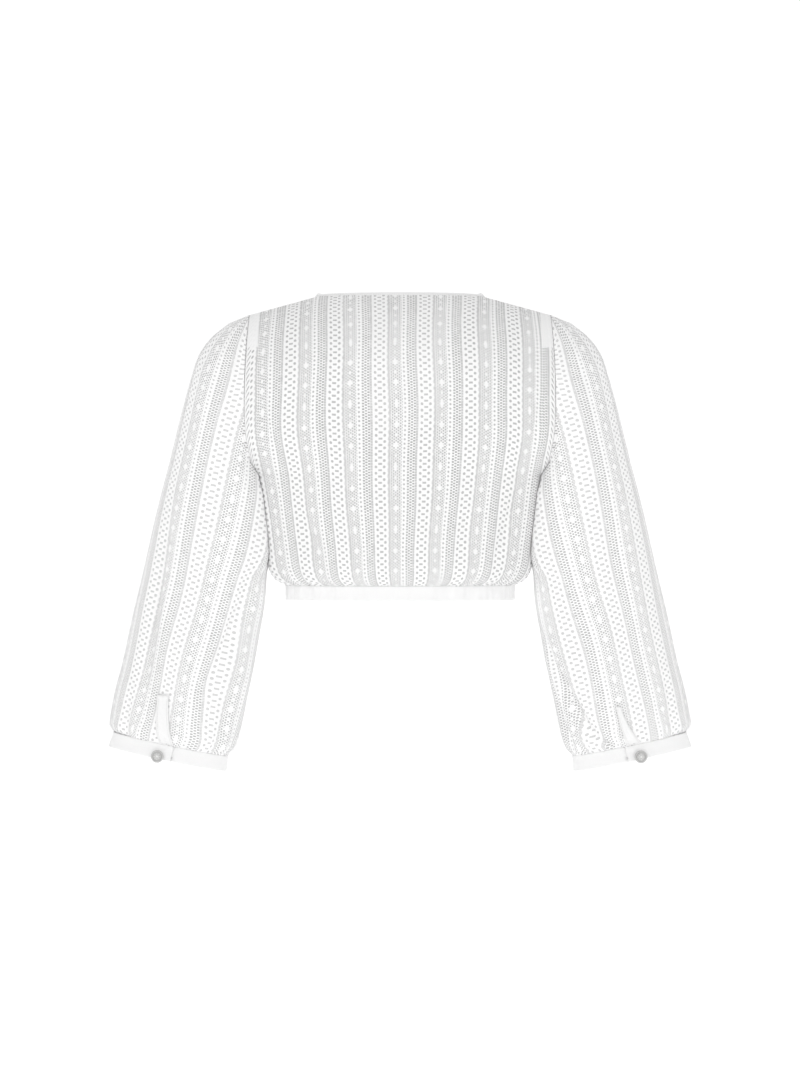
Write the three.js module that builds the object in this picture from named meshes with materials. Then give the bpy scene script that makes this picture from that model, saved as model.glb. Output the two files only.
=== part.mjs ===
// Cropped blouse in striped openwork lace, filled out as when it is worn, with gathered
// three-quarter sleeves, buttoned cuffs, an elastic casing at the hem and a bound neck.
// Millimetres. +X is the wearer's right, +Y the wearer's front, +Z up. The origin lies on the
// wearer's shoulder line, midway between the shoulders. Sizes are those of a small women's size.

import * as THREE from "three";

// Driving dimensions

const CLOTH = 1.2;
const CUFF_CLOTH = 1.8;
const CASING_CLOTH = 2.0;
const BINDING_CLOTH = 1.6;
const SLIT_CLOTH = 1.4;
const TAPE_CLOTH = 1.0;
const SEAM_GAP = 0.3;
const ARMHOLE_GAP = 0.9;
const LAY_GAP = 0.4;
const INNER_GAP = 1.1;
const TAPE_GAP = 1.1;

const NECK_HALF = 101;
const NECK_TOP = 12;
const SHOULDER_HALF = 178;
const SHOULDER_TOP = -9;
const SHOULDER_ROUNDING = 104;
const UNDERARM = -200;
const ARMHOLE_FLOOR_RISE = 62;
const ARMHOLE_DEPTH = 60;
const BODY_ROUNDNESS = 0.46;
const BACK_NECK_DIP = 1.5;
const HEM_TOP = -330;
const HEM_BOTTOM = -347;

const NECK_COLUMNS = 20;
const SIDE_COLUMNS = 12;
const BODY_ROWS_BELOW = [-330, -325, -318, -306, -284, -244, -200];
const ARMHOLE_ROWS = 10;
const SLEEVE_COLUMNS = 36;
const BUTTON_COLUMNS = 16;

const BINDING_HEIGHT = 6.2;
const NECK_POINT_LEAN = 1.5;
const TAPE_WIDTH = 10;
const TAPE_REACH = THREE.MathUtils.degToRad(100);
const TAPE_START = 0.5;
const TAPE_BODY_CURVE = 70;
const TAPE_BODY_TURN = 0.22;
const FACING_WIDTH = 36;
const FACING_INSET = 3;
const FACING_TOP = -31;
const FACING_BOTTOM = -129;
const LABEL_WIDTH = 38;
const LABEL_HEIGHT = 20;
const LABEL_CENTRE_X = 3;
const LABEL_DROP = 3;

const HEM_GATHERS = 24;
const HEM_GATHER_DEPTH = 1.7;
const HEM_GATHER_REACH = 46;
const HEM_GATHER_FADE = 1.6;
const HEM_UNEVEN = 0.28;
const HEM_UNEVEN_WAVES = 5.3;
const CUFF_GATHERS = 12;
const CUFF_GATHER_DEPTH = 2.2;
const CUFF_GATHER_REACH = 0.24;
const CUFF_GATHER_FADE = 1.4;
const CUFF_UNEVEN = 0.3;
const CUFF_UNEVEN_WAVES = 3.1;
const FOLD_FADE = 0.8;

const CUFF_HEIGHT = 17;
const CUFF_HALF_WIDTH = 69;
const CUFF_HALF_DEPTH = 25;
const CUFF_FLARE = 2.5;
const CUFF_TILT = THREE.MathUtils.degToRad(12);
const CUFF_STEPS = 44;
const CUFF_OVERLAP = THREE.MathUtils.degToRad(34);

const BUTTON_RADIUS = 7.5;
const BUTTON_HEIGHT = 3.2;
const BUTTON_DOWN = 13.8;
const SHANK_RADIUS = 2.2;
const SHANK_HEIGHT = 1.8;

// The button's outline from its middle to its rim and back, as shares of its radius and height.
const BUTTON_DISC = [
  { radius: 0.86, height: 0 },
  { radius: 1, height: 0.3 },
  { radius: 1, height: 0.55 },
  { radius: 0.82, height: 0.8 },
  { radius: 0.45, height: 1 },
  { radius: 0, height: 1.05 },
];

// Steps for reading a surface's direction, and the distance at which two points count as one.
const TURN_STEP = 0.03;
const HEIGHT_STEP = 2;
const ANGLE_STEP = 0.04;
const BINDING_STEP = 6;
const NEAR = 1;
const EXACT = 0.01;

// The body, a row for each height: half of its width, and its depth to the back and the front.
const BODY = [
  { z: -347, half: 133, back: 66, front: 70 },
  { z: -330, half: 135, back: 68, front: 72 },
  { z: -325, half: 145, back: 75, front: 81 },
  { z: -318, half: 151.5, back: 80, front: 88 },
  { z: -306, half: 155.5, back: 85, front: 95 },
  { z: -284, half: 158.5, back: 88, front: 101 },
  { z: -244, half: 164.5, back: 91, front: 109 },
  { z: -200, half: 171, back: 94, front: 114 },
  { z: -150, half: 180, back: 97, front: 113 },
  { z: -100, half: 181, back: 97, front: 106 },
  { z: -50, half: 179.5, back: 94, front: 96 },
  { z: -14, half: 178, back: 90, front: 88 },
  { z: 60, half: 178, back: 84, front: 80 },
];

// The front neckline, from the neck point down to the middle.
const FRONT_NECKLINE = [
  { x: 101, z: 12 },
  { x: 84, z: -8 },
  { x: 68, z: -36 },
  { x: 58, z: -78 },
  { x: 50, z: -116 },
  { x: 36, z: -141 },
  { x: 16, z: -150 },
  { x: 0, z: -152 },
];

// The left sleeve from the armhole to the cuff: its outer edge, its inner edge, half its depth
// and how far its middle lies forward. The right sleeve is its mirror image.
const SLEEVE = [
  { outX: 203, outZ: -19, inX: 174, inZ: -207, depth: 59, forward: 0 },
  { outX: 224, outZ: -36, inX: 172, inZ: -214, depth: 60, forward: 0 },
  { outX: 239, outZ: -57, inX: 170.5, inZ: -222, depth: 61, forward: 0 },
  { outX: 248, outZ: -84, inX: 168.4, inZ: -233, depth: 61, forward: 0 },
  { outX: 258, outZ: -120, inX: 165.4, inZ: -251, depth: 60, forward: 1 },
  { outX: 271, outZ: -172, inX: 161.8, inZ: -276, depth: 58, forward: 2 },
  { outX: 289, outZ: -241, inX: 158.5, inZ: -311, depth: 55, forward: 3 },
  { outX: 304.5, outZ: -309, inX: 160.5, inZ: -349, depth: 52, forward: 4 },
  { outX: 318, outZ: -365, inX: 167, inZ: -388, depth: 50, forward: 5 },
  { outX: 329.5, outZ: -418, inX: 174.5, inZ: -430, depth: 48, forward: 6 },
  { outX: 339, outZ: -454, inX: 182, inZ: -465, depth: 45, forward: 7 },
  { outX: 344.5, outZ: -482, inX: 189.5, inZ: -500, depth: 41, forward: 8 },
  { outX: 345.5, outZ: -496, inX: 196.5, inZ: -522, depth: 35, forward: 8 },
  { outX: 340.5, outZ: -504.8, inX: 205.5, inZ: -533.4, depth: 25, forward: 8 },
];

// The largest folds, a row for each: the sleeve it is on, its angle round the sleeve at its top
// and foot, where it starts and ends along the sleeve, its half width and its depth inwards.
const FOLDS = [
  { side: -1, topAngle: 39, footAngle: 66, top: 0.45, foot: 0.9, half: 9, depth: 5 },
  { side: -1, topAngle: 47, footAngle: 84, top: 0.45, foot: 0.86, half: 8, depth: -3 },
  { side: -1, topAngle: 150, footAngle: 108, top: 0.46, foot: 0.8, half: 9, depth: 4.5 },
  { side: -1, topAngle: 250, footAngle: 286, top: 0.45, foot: 0.9, half: 10, depth: 5 },
  { side: 1, topAngle: 170, footAngle: 105, top: 0.62, foot: 0.98, half: 9, depth: 6 },
  { side: 1, topAngle: 178, footAngle: 150, top: 0.7, foot: 0.97, half: 8, depth: 4 },
  { side: 1, topAngle: 72, footAngle: 80, top: 0.4, foot: 0.8, half: 10, depth: 3.5 },
  { side: 1, topAngle: 236, footAngle: 270, top: 0.5, foot: 0.92, half: 10, depth: 5 },
];

// The slit in each sleeve: where its strip lies round the sleeve at its top and foot, half its
// width there in degrees, where it starts along the sleeve, and the cuff's overlap and button.
const SLITS = [
  { side: -1, topAngle: 77, footAngle: 88, topHalf: 5, footHalf: 7, top: 0.785, overlap: 95, button: 82.3 },
  { side: 1, topAngle: 95.5, footAngle: 87, topHalf: 2, footHalf: 7, top: 0.81, overlap: 96, button: 84 },
];
const SLIT_FOOT = 0.99;
const SLIT_CALM = 15;
const SLIT_CALM_RISE = 0.12;
const SLIT_CALM_FADE = 0.1;

const COLOURS = {
  lace: { color: 0xf6f6f6, roughness: 0.85, metalness: 0 },
  cotton: { color: 0xfcfcfc, roughness: 0.8, metalness: 0 },
  metal: { color: 0x8f8f8c, roughness: 0.4, metalness: 0.85 },
};

// Helpers

const smooth = (x) => THREE.MathUtils.smoothstep(x, 0, 1);
const mix = THREE.MathUtils.lerp;

// Reads a table at a value of its key, with soft steps between its rows.
function readTable(table, key, at, name) {
  const rising = table[table.length - 1][key] > table[0][key];
  const order = rising ? table : [...table].reverse();
  if (at <= order[0][key]) return order[0][name];
  for (let i = 1; i < order.length; i += 1) {
    if (at <= order[i][key]) {
      return hermite(order, i, key, at, name);
    }
  }
  return order[order.length - 1][name];
}

function hermite(rows, i, key, at, name) {
  const low = rows[i - 1];
  const high = rows[i];
  const before = rows[Math.max(i - 2, 0)];
  const after = rows[Math.min(i + 1, rows.length - 1)];
  const step = high[key] - low[key];
  const t = (at - low[key]) / step;
  const inSlope = (high[name] - before[name]) / (high[key] - before[key]);
  const outSlope = (after[name] - low[name]) / (after[key] - low[key]);
  const t2 = t * t;
  const t3 = t2 * t;
  return (
    (2 * t3 - 3 * t2 + 1) * low[name] +
    (t3 - 2 * t2 + t) * step * inSlope +
    (3 * t2 - 2 * t3) * high[name] +
    (t3 - t2) * step * outSlope
  );
}

// Makes a closed wall from a grid of outer points: each is moved in by the cloth's thickness.
// A closed grid joins its last column to its first. trim may change the way a point is moved.
function clothWall(columns, rows, point, thickness, closed, trim = (n) => n) {
  const count = closed ? columns : columns + 1;
  const outer = [];
  for (let j = 0; j <= rows; j += 1) {
    for (let i = 0; i < count; i += 1) outer.push(point(i, j));
  }
  const at = (i, j) => j * count + (closed ? (i + columns) % columns : i);
  const inner = outer.map((p, k) => {
    const i = k % count;
    const j = (k - i) / count;
    const left = outer[at(closed ? i - 1 : Math.max(i - 1, 0), j)];
    const right = outer[at(closed ? i + 1 : Math.min(i + 1, columns), j)];
    const low = outer[at(i, Math.max(j - 1, 0))];
    const high = outer[at(i, Math.min(j + 1, rows))];
    const across = right.clone().sub(left);
    const along = high.clone().sub(low);
    const normal = trim(across.cross(along).normalize(), i, j).normalize();
    return p.clone().addScaledVector(normal, -thickness);
  });
  const faces = [];
  const half = outer.length;
  const quad = (a, b, c, d) => faces.push(a, b, c, a, c, d);
  const length = (a, b) => outer[a].distanceTo(outer[b]);
  for (let j = 0; j < rows; j += 1) {
    for (let i = 0; i < columns; i += 1) {
      const [a, b, c, d] = [at(i, j), at(i + 1, j), at(i + 1, j + 1), at(i, j + 1)];
      const turned = length(b, d) < length(a, c);
      const [e, f, g, h] = turned ? [b, c, d, a] : [a, b, c, d];
      quad(e, f, g, h);
      quad(half + g, half + f, half + e, half + h);
    }
  }
  for (let i = 0; i < columns; i += 1) {
    const [a, b] = [at(i, 0), at(i + 1, 0)];
    quad(b, a, half + a, half + b);
    const [c, d] = [at(i, rows), at(i + 1, rows)];
    quad(c, d, half + d, half + c);
  }
  if (!closed) {
    for (let j = 0; j < rows; j += 1) {
      const [a, b] = [at(0, j), at(0, j + 1)];
      quad(a, b, half + b, half + a);
      const [c, d] = [at(columns, j), at(columns, j + 1)];
      quad(d, c, half + c, half + d);
    }
  }
  return geometryFrom([...outer, ...inner], faces);
}

function geometryFrom(points, faces) {
  const geometry = new THREE.BufferGeometry();
  const flat = points.flatMap((p) => [p.x, p.y, p.z]);
  geometry.setAttribute("position", new THREE.Float32BufferAttribute(flat, 3));
  geometry.setIndex(faces);
  geometry.computeVertexNormals();
  return geometry;
}

function makeMesh(name, geometry, look) {
  const mesh = new THREE.Mesh(geometry, new THREE.MeshStandardMaterial(COLOURS[look]));
  mesh.name = name;
  return mesh;
}

// Body surface

// Height of the shoulder seam over a point at distance x from the middle, and of the round
// line that goes on from it over the neck.
function shoulderHeight(x) {
  const slope = (NECK_TOP - SHOULDER_TOP) / (SHOULDER_HALF - NECK_HALF);
  const off = Math.abs(x);
  const soft = off < NECK_HALF ? (off * off / NECK_HALF + NECK_HALF) / 2 : off;
  return SHOULDER_TOP + (SHOULDER_HALF - soft) * slope;
}

// How far out the body is at a share s of its half width. It is nothing at the side seam and the
// shoulder seam, and ARMHOLE_DEPTH at the armhole. face is -1 on the back and 1 on the front.
function bodyDepth(face, s, x, z) {
  const full = readTable(BODY, "z", z, face < 0 ? "back" : "front");
  const rise = THREE.MathUtils.clamp((z - UNDERARM) / ARMHOLE_FLOOR_RISE, 0, 1);
  const edge = ARMHOLE_DEPTH * Math.sqrt(1 - (1 - rise) ** 2);
  const open = (edge / full) ** (1 / BODY_ROUNDNESS);
  const across = full * Math.max(1 - s * s * (1 - open), 0) ** BODY_ROUNDNESS;
  const drop = THREE.MathUtils.clamp((shoulderHeight(x) - z) / SHOULDER_ROUNDING, 0, 1);
  return face * across * Math.sqrt(1 - (1 - drop) ** 2);
}

// The gathers over the hem: a wave in the cloth that dies out upwards, uneven in its depth.
function hemGather(face, turn, z) {
  const reach = THREE.MathUtils.clamp(1 - (z - HEM_TOP) / HEM_GATHER_REACH, 0, 1);
  const uneven = 1 - HEM_UNEVEN + HEM_UNEVEN * Math.sin(HEM_UNEVEN_WAVES * turn + face);
  return HEM_GATHER_DEPTH * uneven * reach ** HEM_GATHER_FADE * Math.cos(HEM_GATHERS * turn);
}

// A point on the body: turn runs from -90 to 90 degrees, from the left side to the right.
function bodyPoint(face, turn, z) {
  const s = Math.sin(turn);
  const x = readTable(BODY, "z", z, "half") * s;
  const y = bodyDepth(face, s, x, z);
  const wave = hemGather(face, turn, z);
  const seam = face * (SEAM_GAP / 2) * Math.min(1, Math.abs(s) ** 8 + (y === 0 ? 1 : 0));
  return new THREE.Vector3(x + wave * s, y + seam + face * wave * Math.cos(turn), z);
}

// The turn of each column: an even spread over the neck and another out to each side seam.
function columnTurns() {
  const neckTurn = Math.asin(NECK_HALF / SHOULDER_HALF);
  const turns = [];
  for (let i = 0; i < SIDE_COLUMNS; i += 1) {
    turns.push(mix(-Math.PI / 2, -neckTurn, i / SIDE_COLUMNS));
  }
  for (let i = 0; i <= NECK_COLUMNS; i += 1) {
    turns.push(mix(-neckTurn, neckTurn, i / NECK_COLUMNS));
  }
  for (let i = 1; i <= SIDE_COLUMNS; i += 1) {
    turns.push(mix(neckTurn, Math.PI / 2, i / SIDE_COLUMNS));
  }
  return turns;
}

// Height of a panel's upper edge: the shoulder seam, or the neck between the neck points.
function topEdge(face, turn) {
  const x = Math.min(Math.abs(Math.sin(turn)) * SHOULDER_HALF, SHOULDER_HALF);
  if (x >= NECK_HALF - EXACT) return shoulderHeight(x);
  if (face < 0) return NECK_TOP - BACK_NECK_DIP * (1 - (x / NECK_HALF) ** 2);
  return readTable(FRONT_NECKLINE, "x", x, "z");
}

// A point on the inner side of the body, moved in square to it.
function innerPoint(face, turn, z, inset) {
  const across = bodyPoint(face, turn + TURN_STEP, z).sub(bodyPoint(face, turn - TURN_STEP, z));
  const along = bodyPoint(face, turn, z + HEIGHT_STEP).sub(bodyPoint(face, turn, z - HEIGHT_STEP));
  const out = across.cross(along).normalize().multiplyScalar(-face);
  return bodyPoint(face, turn, z).addScaledVector(out, -inset);
}

function rowHeight(face, turn, row) {
  const below = BODY_ROWS_BELOW.length - 1;
  if (row <= below) return BODY_ROWS_BELOW[row];
  const share = (1 - Math.cos((Math.PI * (row - below)) / ARMHOLE_ROWS)) / 2;
  return mix(UNDERARM, topEdge(face, turn), share);
}

const BODY_ROWS = BODY_ROWS_BELOW.length - 1 + ARMHOLE_ROWS;

function panelPoint(face, turn, row) {
  return bodyPoint(face, turn, rowHeight(face, turn, row));
}

// At the side and shoulder seams the wall keeps square to the seam, so the two panels don't meet.
function squareAtSeams(face, turns) {
  return (normal, i, j) => {
    const atSide = i === 0 || i === turns.length - 1;
    const x = Math.abs(Math.sin(turns[i])) * SHOULDER_HALF;
    const onShoulder = j === BODY_ROWS && x >= NECK_HALF - NEAR;
    if (atSide && j <= BODY_ROWS_BELOW.length) normal.y = 0;
    if (onShoulder) normal.y = 0;
    return normal;
  };
}

function makePanel(name, face) {
  const turns = columnTurns();
  const order = face < 0 ? turns : [...turns].reverse();
  const point = (i, j) => panelPoint(face, order[i], j);
  const trim = squareAtSeams(face, order);
  return makeMesh(name, clothWall(order.length - 1, BODY_ROWS, point, CLOTH, false, trim), "lace");
}

// Sleeves

// The armhole seam: angle 0 at the shoulder, 90 at the back, 180 under the arm, 270 in front.
function armholePoint(side, angle) {
  const face = Math.sin(angle) >= 0 ? -1 : 1;
  const z = mix(UNDERARM, SHOULDER_TOP, (1 + Math.cos(angle)) / 2);
  return bodyPoint(face, (side * Math.PI) / 2, z);
}

// The cloth lies calm beside the bound slit: 0 on it, 1 away from it.
function awayFromSlit(side, angle, along) {
  const slit = SLITS.find((row) => row.side === side);
  const share = THREE.MathUtils.clamp((along - slit.top) / (SLIT_FOOT - slit.top), 0, 1);
  const middle = mix(slit.topAngle, slit.footAngle, share);
  const off = (THREE.MathUtils.radToDeg(angle) - middle) / SLIT_CALM;
  const near = smooth((along - slit.top + SLIT_CALM_RISE) / SLIT_CALM_FADE);
  return 1 - near * Math.exp(-(off ** 4));
}

// The sleeve's folds at an angle and a share of its length, as a depth inwards.
function foldDepth(side, angle, along) {
  let depth = 0;
  const degrees = THREE.MathUtils.radToDeg(angle);
  for (const fold of FOLDS.filter((row) => row.side === side)) {
    const share = (along - fold.top) / (fold.foot - fold.top);
    if (share <= 0 || share >= 1) continue;
    const middle = mix(fold.topAngle, fold.footAngle, share);
    const off = (degrees - middle) / fold.half;
    depth += fold.depth * Math.sin(Math.PI * share) ** FOLD_FADE * Math.exp(-off * off);
  }
  return depth;
}

function cuffGather(side, angle, along) {
  const reach = THREE.MathUtils.clamp(1 - (1 - along) / CUFF_GATHER_REACH, 0, 1);
  const uneven = 1 - CUFF_UNEVEN + CUFF_UNEVEN * Math.sin(CUFF_UNEVEN_WAVES * angle + side);
  return CUFF_GATHER_DEPTH * uneven * reach ** CUFF_GATHER_FADE * Math.cos(CUFF_GATHERS * angle);
}

// A point on the sleeve: along runs from 0 at the armhole to 1 at the cuff.
function sleevePoint(side, angle, along) {
  const rings = SLEEVE.length;
  const place = along * rings;
  if (place < 1) {
    const seam = armholePoint(side, angle);
    seam.x += side * ARMHOLE_GAP;
    return seam.lerp(ringPoint(side, angle, 1, along), place);
  }
  return ringPoint(side, angle, place, along);
}

function ringPoint(side, angle, place, along) {
  const rows = SLEEVE.map((row, k) => ({ ...row, place: k + 1 }));
  const read = (name) => readTable(rows, "place", place, name);
  const free = awayFromSlit(side, angle, along);
  const swell = free * (cuffGather(side, angle, along) - foldDepth(side, angle, along));
  const outwards = Math.cos(angle);
  const midX = (read("outX") + read("inX")) / 2;
  const midZ = (read("outZ") + read("inZ")) / 2;
  const halfX = (read("outX") - read("inX")) / 2;
  const halfZ = (read("outZ") - read("inZ")) / 2;
  const half = Math.hypot(halfX, halfZ);
  const grown = 1 + swell / half;
  return new THREE.Vector3(
    side * (midX + halfX * outwards * grown),
    read("forward") - (read("depth") + swell) * Math.sin(angle),
    midZ + halfZ * outwards * grown,
  );
}

function makeSleeve(name, side) {
  const rows = SLEEVE.length;
  const point = (i, j) => {
    const angle = (side < 0 ? 1 : -1) * (2 * Math.PI * i) / SLEEVE_COLUMNS;
    const round = THREE.MathUtils.euclideanModulo(angle, 2 * Math.PI);
    return sleevePoint(side, round, 1 - j / rows);
  };
  const trim = (normal, i, j) => {
    if (j === rows) normal.x = 0;
    return normal;
  };
  return makeMesh(name, clothWall(SLEEVE_COLUMNS, rows, point, CLOTH, true, trim), "lace");
}

// Cuffs, their buttons and the bound slits above them

const CUFF_TOP = SLEEVE[SLEEVE.length - 1];

// The cuff's middle, and its directions outwards and down along the sleeve.
function cuffFrame(side) {
  const x = (side * (CUFF_TOP.outX + CUFF_TOP.inX)) / 2;
  const z = (CUFF_TOP.outZ + CUFF_TOP.inZ) / 2;
  return {
    middle: new THREE.Vector3(x, CUFF_TOP.forward, z),
    outwards: new THREE.Vector3(side * Math.cos(CUFF_TILT), 0, Math.sin(CUFF_TILT)),
    down: new THREE.Vector3(side * Math.sin(CUFF_TILT), 0, -Math.cos(CUFF_TILT)),
  };
}

// A point on the cuff's outer face: down runs over its height, lift moves it off the band.
function cuffPoint(side, angle, down, lift) {
  const frame = cuffFrame(side);
  const flare = (CUFF_FLARE * down) / CUFF_HEIGHT + lift;
  return frame.middle
    .clone()
    .addScaledVector(frame.outwards, (CUFF_HALF_WIDTH + flare) * Math.cos(angle))
    .addScaledVector(frame.down, down + SEAM_GAP + LAY_GAP)
    .add(new THREE.Vector3(0, -(CUFF_HALF_DEPTH + flare) * Math.sin(angle), 0));
}

// The band runs once round and on over its own start, where its end is lifted by a layer.
function makeCuff(name, slit) {
  const start = THREE.MathUtils.degToRad(slit.overlap) - CUFF_OVERLAP;
  const full = 2 * Math.PI + CUFF_OVERLAP;
  const layer = CUFF_CLOTH + LAY_GAP;
  const point = (i, j) => {
    const share = slit.side < 0 ? i / CUFF_STEPS : 1 - i / CUFF_STEPS;
    const turned = share * full;
    const lift = layer * smooth((turned - 2 * Math.PI + 2 * CUFF_OVERLAP) / CUFF_OVERLAP);
    const angle = start + turned;
    return cuffPoint(slit.side, angle, CUFF_HEIGHT * (1 - j), lift);
  };
  return makeMesh(name, clothWall(CUFF_STEPS, 1, point, CUFF_CLOTH, false), "cotton");
}

// A domed button with a raised rim, on a short shank.
function makeButton(name, slit) {
  const outline = [
    new THREE.Vector2(0, -SHANK_HEIGHT),
    new THREE.Vector2(SHANK_RADIUS, -SHANK_HEIGHT),
    new THREE.Vector2(SHANK_RADIUS, 0),
    ...BUTTON_DISC.map((row) => new THREE.Vector2(row.radius * BUTTON_RADIUS, row.height * BUTTON_HEIGHT)),
  ];
  const mesh = makeMesh(name, new THREE.LatheGeometry(outline, BUTTON_COLUMNS), "metal");
  const angle = THREE.MathUtils.degToRad(slit.button);
  const layer = CUFF_CLOTH + LAY_GAP;
  const place = (lift) => cuffPoint(slit.side, angle, BUTTON_DOWN, lift);
  const seat = place(layer);
  const outwards = place(layer + 1).sub(seat).normalize();
  mesh.quaternion.setFromUnitVectors(new THREE.Vector3(0, 1, 0), outwards);
  mesh.position.copy(seat.addScaledVector(outwards, SHANK_HEIGHT + LAY_GAP));
  return mesh;
}

// The binding of the slit: a folded strip on the sleeve, down to the cuff.
function makeSlitBinding(name, slit) {
  const columns = 4;
  const rows = 8;
  const point = (i, j) => {
    const across = (slit.side < 0 ? 2 : -2) * (i / columns - 0.5);
    const down = 1 - j / rows;
    const half = mix(slit.topHalf, slit.footHalf, down);
    const angle = THREE.MathUtils.degToRad(mix(slit.topAngle, slit.footAngle, down) + half * across);
    const rim = sleevePoint(slit.side, angle, mix(slit.top, SLIT_FOOT, down));
    const lift = LAY_GAP + BINDING_CLOTH;
    return rim.add(new THREE.Vector3(0, -lift / Math.sin(angle), 0));
  };
  return makeMesh(name, clothWall(columns, rows, point, SLIT_CLOTH, false), "cotton");
}

// Bindings, casing and tapes of the body

// The neck edge all round: first the back from left to right, then the front back again.
function neckEdge() {
  const widest = NECK_HALF + EXACT;
  const turns = columnTurns().filter((t) => Math.abs(Math.sin(t)) * SHOULDER_HALF < widest);
  const back = turns.map((turn) => ({ face: -1, turn }));
  const front = [...turns].reverse().map((turn) => ({ face: 1, turn }));
  return [...back, ...front.slice(1, -1)];
}

// The binding stands on the neck edge, square to it and in line with the panel.
function makeNeckBinding() {
  const edge = neckEdge();
  const points = edge.map(({ face, turn }) => {
    const point = panelPoint(face, turn, BODY_ROWS);
    if (Math.abs(point.y) < NEAR) point.y = 0;
    return point;
  });
  const count = edge.length;
  const stand = edge.map(({ face, turn }, i) => {
    const along = points[(i + 1) % count].clone().sub(points[(i + count - 1) % count]).normalize();
    const low = bodyPoint(face, turn, topEdge(face, turn) - BINDING_STEP);
    const up = points[i].clone().sub(low).normalize();
    const inwards = new THREE.Vector3(-Math.sign(points[i].x) * NECK_POINT_LEAN, 0, 1);
    const lean = Math.abs(points[i].y) < NEAR ? inwards : up;
    return lean.addScaledVector(along, -lean.dot(along)).normalize();
  });
  const point = (i, j) => {
    const height = LAY_GAP + BINDING_HEIGHT * j;
    return points[i].clone().addScaledVector(stand[i], height);
  };
  return makeMesh("neck_binding", clothWall(count, 1, point, BINDING_CLOTH, true), "cotton");
}

function makeHemCasing() {
  const columns = HEM_GATHERS * 4;
  const rows = 1;
  const point = (i, j) => {
    const turned = (2 * Math.PI * i) / columns;
    const face = Math.cos(turned) >= 0 ? -1 : 1;
    const turn = Math.asin(Math.sin(turned));
    const z = mix(HEM_BOTTOM, HEM_TOP - SEAM_GAP - LAY_GAP, j / rows);
    const place = bodyPoint(face, turn, Math.min(z, HEM_TOP));
    if (Math.abs(place.y) < NEAR) place.y = 0;
    return new THREE.Vector3(place.x, place.y, z);
  };
  return makeMesh("hem_casing", clothWall(columns, rows, point, CASING_CLOTH, true), "cotton");
}

// The armhole seam with its directions: in over the body, and out of the body.
function armholeFrame(side, angle) {
  const ahead = armholePoint(side, angle + ANGLE_STEP);
  const along = ahead.sub(armholePoint(side, angle - ANGLE_STEP)).normalize();
  const face = Math.sin(angle) >= 0 ? -1 : 1;
  const turn = Math.PI / 2 - TAPE_BODY_TURN;
  const seam = armholePoint(side, angle);
  const z = mix(UNDERARM, topEdge(face, turn), (1 + Math.cos(angle)) / 2);
  const inwards = bodyPoint(face, side * turn, z).sub(seam);
  inwards.addScaledVector(along, -inwards.dot(along)).normalize();
  const out = along.clone().cross(inwards).normalize();
  if (out.dot(new THREE.Vector3(seam.x, seam.y, seam.z - UNDERARM)) < 0) out.negate();
  return { seam, inwards, out };
}

// The tape inside the armhole seam, over the shoulder from the back to the front.
function makeArmholeTape(name, side) {
  const columns = 24;
  const rows = 1;
  const point = (i, j) => {
    const angle = side * TAPE_REACH * ((2 * i) / columns - 1);
    const { seam, inwards, out } = armholeFrame(side, angle);
    const reach = TAPE_START + TAPE_WIDTH * (1 - j / rows);
    const inset = CLOTH + TAPE_GAP + (reach * reach) / TAPE_BODY_CURVE;
    return seam.addScaledVector(inwards, reach).addScaledVector(out, -inset);
  };
  return makeMesh(name, clothWall(columns, rows, point, TAPE_CLOTH, false), "cotton");
}

// A strip that faces the front neckline, on the inner side of the front.
function makeNeckFacing(name, side) {
  const columns = 4;
  const rows = 10;
  const point = (i, j) => {
    const z = mix(FACING_BOTTOM, FACING_TOP, j / rows);
    const start = readTable(FRONT_NECKLINE, "z", z, "x") + FACING_INSET;
    const across = side < 0 ? i / columns : 1 - i / columns;
    const x = start + FACING_WIDTH * across;
    const half = readTable(BODY, "z", z, "half");
    const turn = side * Math.asin(x / half);
    return innerPoint(1, turn, z, CLOTH + INNER_GAP);
  };
  return makeMesh(name, clothWall(columns, rows, point, TAPE_CLOTH, false), "cotton");
}

// A blank label sewn under the back neck, on the inner side of the back.
function makeLabel() {
  const columns = 6;
  const rows = 3;
  const point = (i, j) => {
    const x = LABEL_CENTRE_X + LABEL_WIDTH * (i / columns - 0.5);
    const z = NECK_TOP - LABEL_DROP - LABEL_HEIGHT * (1 - j / rows);
    const half = readTable(BODY, "z", z, "half");
    return innerPoint(-1, Math.asin(x / half), z, CLOTH + INNER_GAP);
  };
  return makeMesh("label", clothWall(columns, rows, point, TAPE_CLOTH, false), "cotton");
}

// Assembly

const blouse = new THREE.Group();
blouse.add(makePanel("back_panel", -1));
blouse.add(makePanel("front_panel", 1));
blouse.add(makeNeckBinding());
blouse.add(makeHemCasing());
blouse.add(makeLabel());

for (const slit of SLITS) {
  const hand = slit.side < 0 ? "left" : "right";
  blouse.add(makeSleeve(`sleeve_${hand}`, slit.side));
  blouse.add(makeArmholeTape(`armhole_tape_${hand}`, slit.side));
  blouse.add(makeNeckFacing(`neck_facing_${hand}`, slit.side));
  blouse.add(makeSlitBinding(`slit_binding_${hand}`, slit));
  blouse.add(makeCuff(`cuff_${hand}`, slit));
  blouse.add(makeButton(`button_${hand}`, slit));
}

export default blouse;
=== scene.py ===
# %% [markdown]
# # A lace dirndl blouse
# The blouse is cropped, with gathered three-quarter sleeves. Each cloth piece is cut, gathered and
# sewn on the real one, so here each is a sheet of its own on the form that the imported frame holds.
# The frame is loaded first, because every piece has to stay in it.

# %% Load the frame
import math

import bmesh
import bpy
from mathutils import Matrix, Vector


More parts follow.
